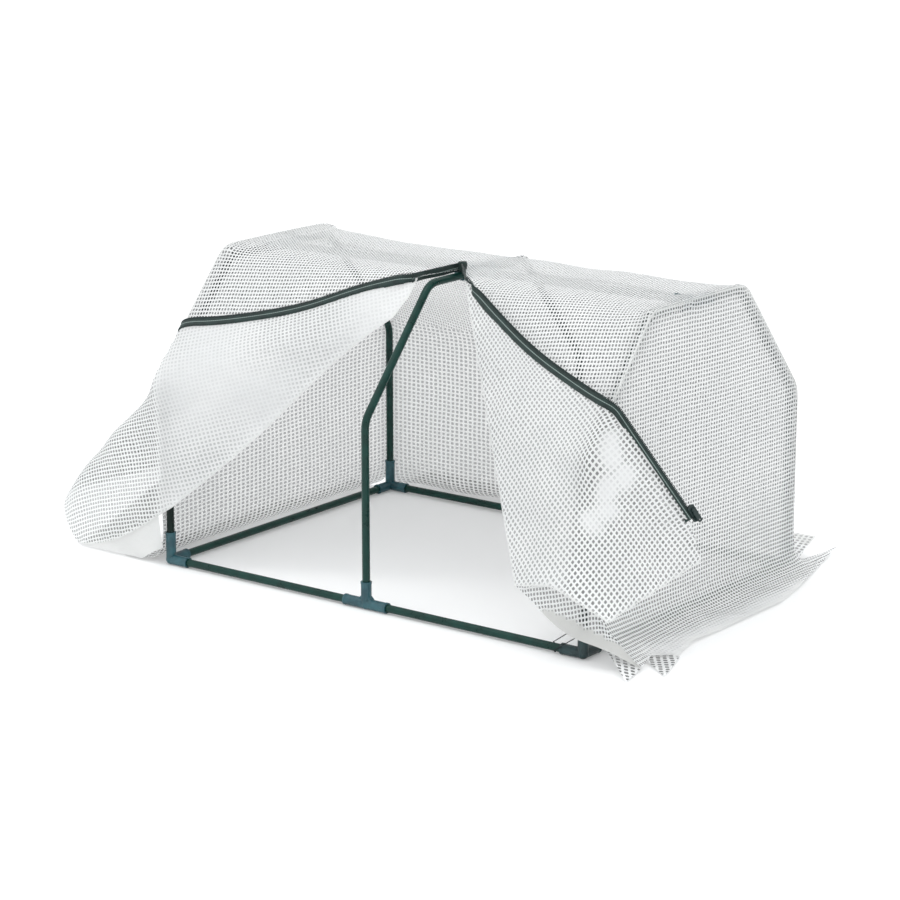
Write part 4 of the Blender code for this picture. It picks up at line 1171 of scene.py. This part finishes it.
def make_tape(name, line, hub, dive_from, body, replaced):
    """Zip tape along a flap's edge, with its teeth. From a run on, its inner edge dives under the film."""
    fine = even(line, TAPE_STEP)
    frames = tape_frames(fine, hub)
    runs = lengths_along(fine)
    places, spots = [], []
    for (point, away, out), run in zip(frames, runs):
        top = TOP_LIFT[0] * float(smooth_step(1 - run / TOP_LIFT[1]))
        under = float(smooth_step((run - dive_from) / DIVE[1]))
        for width, height in zip(TAPE_WIDTHS, TAPE_HEIGHTS):
            if width < -0.002:
                height -= DIVE[0] * under
            places.append(point + away * width + out * (height + top))
            spots.append((run, width))
    made = tape_piece(name, puff(np.array(places)), strip_faces(len(frames), len(TAPE_WIDTHS)), spots)
    made.data.shade_smooth()
    thicken(made)
    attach(made, body)
    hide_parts(replaced)
    make_teeth(name + "_teeth", fine, frames, body)


# The two flaps

def add_zip(points, line):
    """Puts a zip edge's points into a net, and gives their names."""
    names = [f"z{i}" for i in range(len(line))]
    points.update({name: tuple(point) for name, point in zip(names, line)})
    return names


def add_fold(points):
    """Puts the left flap's swollen fold into its net, and gives the names along it."""
    top, foot = Vector(points["top"]), Vector(points["foot"])
    names = [f"f{i}" for i in range(len(FOLD))]
    for name, (share, swell) in zip(names, FOLD):
        way = FOLD_WAYS[0] if share < FOLD_MIDDLE else FOLD_WAYS[1]
        points[name] = tuple(top.lerp(foot, share) + way * swell)
    return ["top"] + names + ["foot"]


def left_flap_haze(co, spots, flat):
    """Milky in patches where the film lies double over the cover."""
    double = smooth_step((co[:, 0] + 0.520) / 0.03)
    patchy = 0.5 + 1.1 * ripple(co, 7.0, 5.0)
    return np.clip(double * (0.72 + 0.35 * patchy), 0, 1)


def make_left_flap(pattern):
    points = {
        "top": (-0.0225, 0.1890, 0.5915),
        "foot": (-0.469, -0.0164, 0.119),
        "in": (-INNER, *SHOULDER),
        "sh": (-0.504, *SHOULDER),
        "m1": (-0.582, 0.000, 0.308),
        "m2": (-0.684, 0.004, 0.226),
        "m3": (-0.752, 0.010, 0.166),
        "b1": (-0.796, 0.014, 0.090),
        "b2": (-0.786, 0.008, 0.043),
        "toe": (-0.729, -0.010, 0.003),
        "h1": (-0.517, -0.0170, 0.087),
        "h2": (-0.563, -0.0160, 0.057),
        "h3": (-0.617, -0.0110, 0.028),
        "h4": (-0.668, -0.0100, 0.011),
        "corner": (-0.608, 0.190, 0.155),
    }
    fold = add_fold(points)
    line = zip_edge(LEFT_ZIP)
    zips = add_zip(points, line)
    last = zips[-1]
    faces = fan("in", fold) + fan("sh", ["top", "in", "foot", "m1"]) + fan("m1", ["foot", "h1", "h2", "m2"])
    faces += fan("m2", ["h2", "h3", "m3"]) + fan("m3", ["h3", "h4", "toe", "b2", "b1"])
    faces += [("sh", "m1", last), ("m1", "m2", last), ("m2", "corner", last), ("m2", "m3", "corner"),
              ("m3", "b1", "corner")]
    faces += fan("sh", ["top"] + zips, back=True)
    made, _ = film_sheet(
        "film_left_flap", points, faces, [("top", pattern["top_l"]), ("foot", pattern["foot_l"])],
        held=[fold, ("top", "z0"), ("corner",), ("toe",)], zip_line=zips, pitch=LEFT_FLAP_PITCH, rounds=40,
        slack=0.007, slack_scale=11.0, seed=11.0, clear=off_cover, spin=LEFT_FLAP_SPIN,
        fields={"plain": selvage(fold + ["h1", "h2", "h3", "h4", "toe"]), "haze_and_painted_glare": left_flap_haze})
    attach(made, "left_flap")
    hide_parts("left_flap")
    make_tape("zip_tape_left", line, Vector(points["sh"]), FAR, "left_flap", "zip_half_left")


def right_flap_haze_and_painted_glare(co, spots, flat):
    """A painted highlight, milky film at the glare's patches; and a little milky where the film lies double.
    """
    glare = np.zeros(len(co))
    uneven = 1 + 0.7 * ripple(co, 24.0, 9.0)
    for *centre, reach in GLARE:
        away = np.linalg.norm(co - np.array(centre), axis=1)
        glare = np.maximum(glare, smooth_step(1.4 - away * uneven / reach))
    return np.maximum(glare, 0.25 + 0.30 * smooth_step((0.50 - co[:, 0]) / 0.03))


def make_right_flap(pattern):
    points = {
        "top": (0.0865, 0.1890, 0.5985),
        "foot": (0.360, -0.0315, 0.118),
        "in": (INNER, *SHOULDER),
        "sh": (0.504, *SHOULDER),
        "h1": (0.410, -0.050, 0.128),
        "h2": (0.448, -0.056, 0.146),
        "h3": (0.505, -0.058, 0.124),
        "hem": (0.578, -0.058, 0.098),
        "corner": (0.608, 0.190, 0.155),
    }
    line = zip_edge(RIGHT_ZIP)
    zips = add_zip(points, line)
    faces = [("in", "foot", "top")]
    faces += fan("sh", ["top", "in", "foot", "h1", "h2", "h3", "hem", "corner", zips[-1]], back=True)
    faces += fan("sh", ["top"] + zips)
    made, _ = film_sheet(
        "film_right_flap", points, faces, [("top", pattern["top_r"]), ("foot", pattern["foot_r"])],
        held=[("top", "foot"), ("top", "z0"), ("corner",), ("hem",)], zip_line=zips, pitch=RIGHT_FLAP_PITCH,
        rounds=40, slack=0.006, slack_scale=11.0, seed=21.0, clear=off_cover,
        fields={"plain": selvage(["top", "foot", "h1", "h2", "h3", "hem", "corner"]),
                "haze_and_painted_glare": right_flap_haze_and_painted_glare})
    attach(made, "right_flap")
    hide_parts("right_flap")
    make_tape("zip_tape_right", line, Vector(points["sh"]), RIGHT_DIVE_FROM, "right_flap", "zip_half_right")


# The zip's top end and the skirt's loose corners

def make_head(name, foot, replaced=None):
    """A tape that stands on one edge of the slit, from its apex down, with its teeth."""
    line = [HEAD_APEX.lerp(foot, i / HEAD_STEPS) for i in range(HEAD_STEPS + 1)]
    up = Vector((0, 0, 1))
    side = (foot - HEAD_APEX).cross(up).normalized()
    places, spots = [], []
    for i, point in enumerate(line):
        for width in (-HEAD_HALF, -0.001, HEAD_HALF):
            places.append(point + up * width + side * HEAD_WAVE * math.sin(i * 0.9))
            spots.append((i * 0.009, width + 0.0015))
    made = tape_piece(name, puff(np.array(places)), strip_faces(len(line), 3), spots)
    thicken(made)
    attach(made, "frame_and_cover")
    if replaced:
        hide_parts(replaced)
    row = [point - up * (ROW_CENTRE - HEAD_ROW) for point in line]
    make_teeth(name + "_teeth", row, [(point, up, side) for point in row], "frame_and_cover")


def make_tab():
    """The folded strip of tape stitched round the top end of the zip."""
    places, spots = [], []
    for i in range(TAB_RINGS):
        level = -1 + 2 * i / (TAB_RINGS - 1)
        shrink = 1 - 0.22 * abs(level) ** 4
        for k in range(TAB_AROUND):
            angle = 2 * math.pi * k / TAB_AROUND
            x = math.copysign(abs(math.cos(angle)) ** TAB_ROUNDING, math.cos(angle))
            y = math.copysign(abs(math.sin(angle)) ** TAB_ROUNDING, math.sin(angle))
            place = Vector((x * TAB_HALF.x * shrink, y * TAB_HALF.y * shrink, level * TAB_HALF.z))
            place += place.normalized() * TAB_WRINKLE * noise.noise(place * 160)
            places.append(TAB_CENTRE + place)
            spots.append((place.z + 0.02, (x + y) * 0.006 + 0.02))
    made = tape_piece("zip_top_tab", places, barrel_faces(TAB_RINGS, TAB_AROUND), spots)
    made.data.shade_smooth()
    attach(made, "frame_and_cover")


def make_corner_tip(name, points, tip_spot):
    """A loose corner of film that lies on the ground at the front of the right skirt."""
    net = dict(zip(("a", "b", "tip", "c", "d", "e"), points))
    faces = [("a", "b", "e"), ("b", "c", "e"), ("b", "tip", "c"), ("c", "d", "e")]
    # The corner is painted shade all over
    made, _ = film_sheet(
        name, net, faces, [("a", (0.0, 0.0)), ("tip", tip_spot)],
        held=[("a", "b", "tip"), ("tip", "c", "d"), ("d", "e")], pitch=TIP_PITCH, rounds=16, slack=0.002,
        seed=31.0, step=TIP_STEP, fields={"painted_shade": all_over})
    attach(made, "frame_and_cover")


# The scene

make_camera()
make_world()
make_lamps()
make_floor()
SHEETS = {}
FILM = film_material()
TAPE = tape_material()
LOOKS = {name: solid_material(name, *values) for name, values in FINISHES.items()}
make_tie()
finish_nodes()
pattern_spots = make_cover()
make_end("film_right_end", 1, RIGHT_STATIONS, "cover_right_end", RIGHT_END_PITCH,
         {"haze_and_painted_glare": end_haze, "painted_shade": end_painted_shade})
# The left end is painted shade all over
make_end("film_left_end", -1, LEFT_STATIONS, "cover_left_end", LEFT_END_PITCH,
         {"painted_shade": all_over})
make_left_flap(pattern_spots)
make_right_flap(pattern_spots)
make_head("zip_tape_head_left", HEAD_LEFT, "zip_head")
make_head("zip_tape_head_right", HEAD_RIGHT)
make_tab()
make_corner_tip("film_corner_tip_a", [
    (0.532, 0.006, 0.022), (0.578, -0.032, 0.014), (0.621, -0.067, 0.002), (0.614, -0.030, 0.003),
    (0.606, 0.004, 0.004), (0.560, 0.020, 0.015)], (0.0262, -0.1184))
make_corner_tip("film_corner_tip_b", [
    (0.568, 0.062, 0.004), (0.612, 0.032, 0.003), (0.657, 0.000, 0.001), (0.640, 0.054, 0.002),
    (0.621, 0.106, 0.002), (0.580, 0.100, 0.002)], (0.0340, -0.1030))
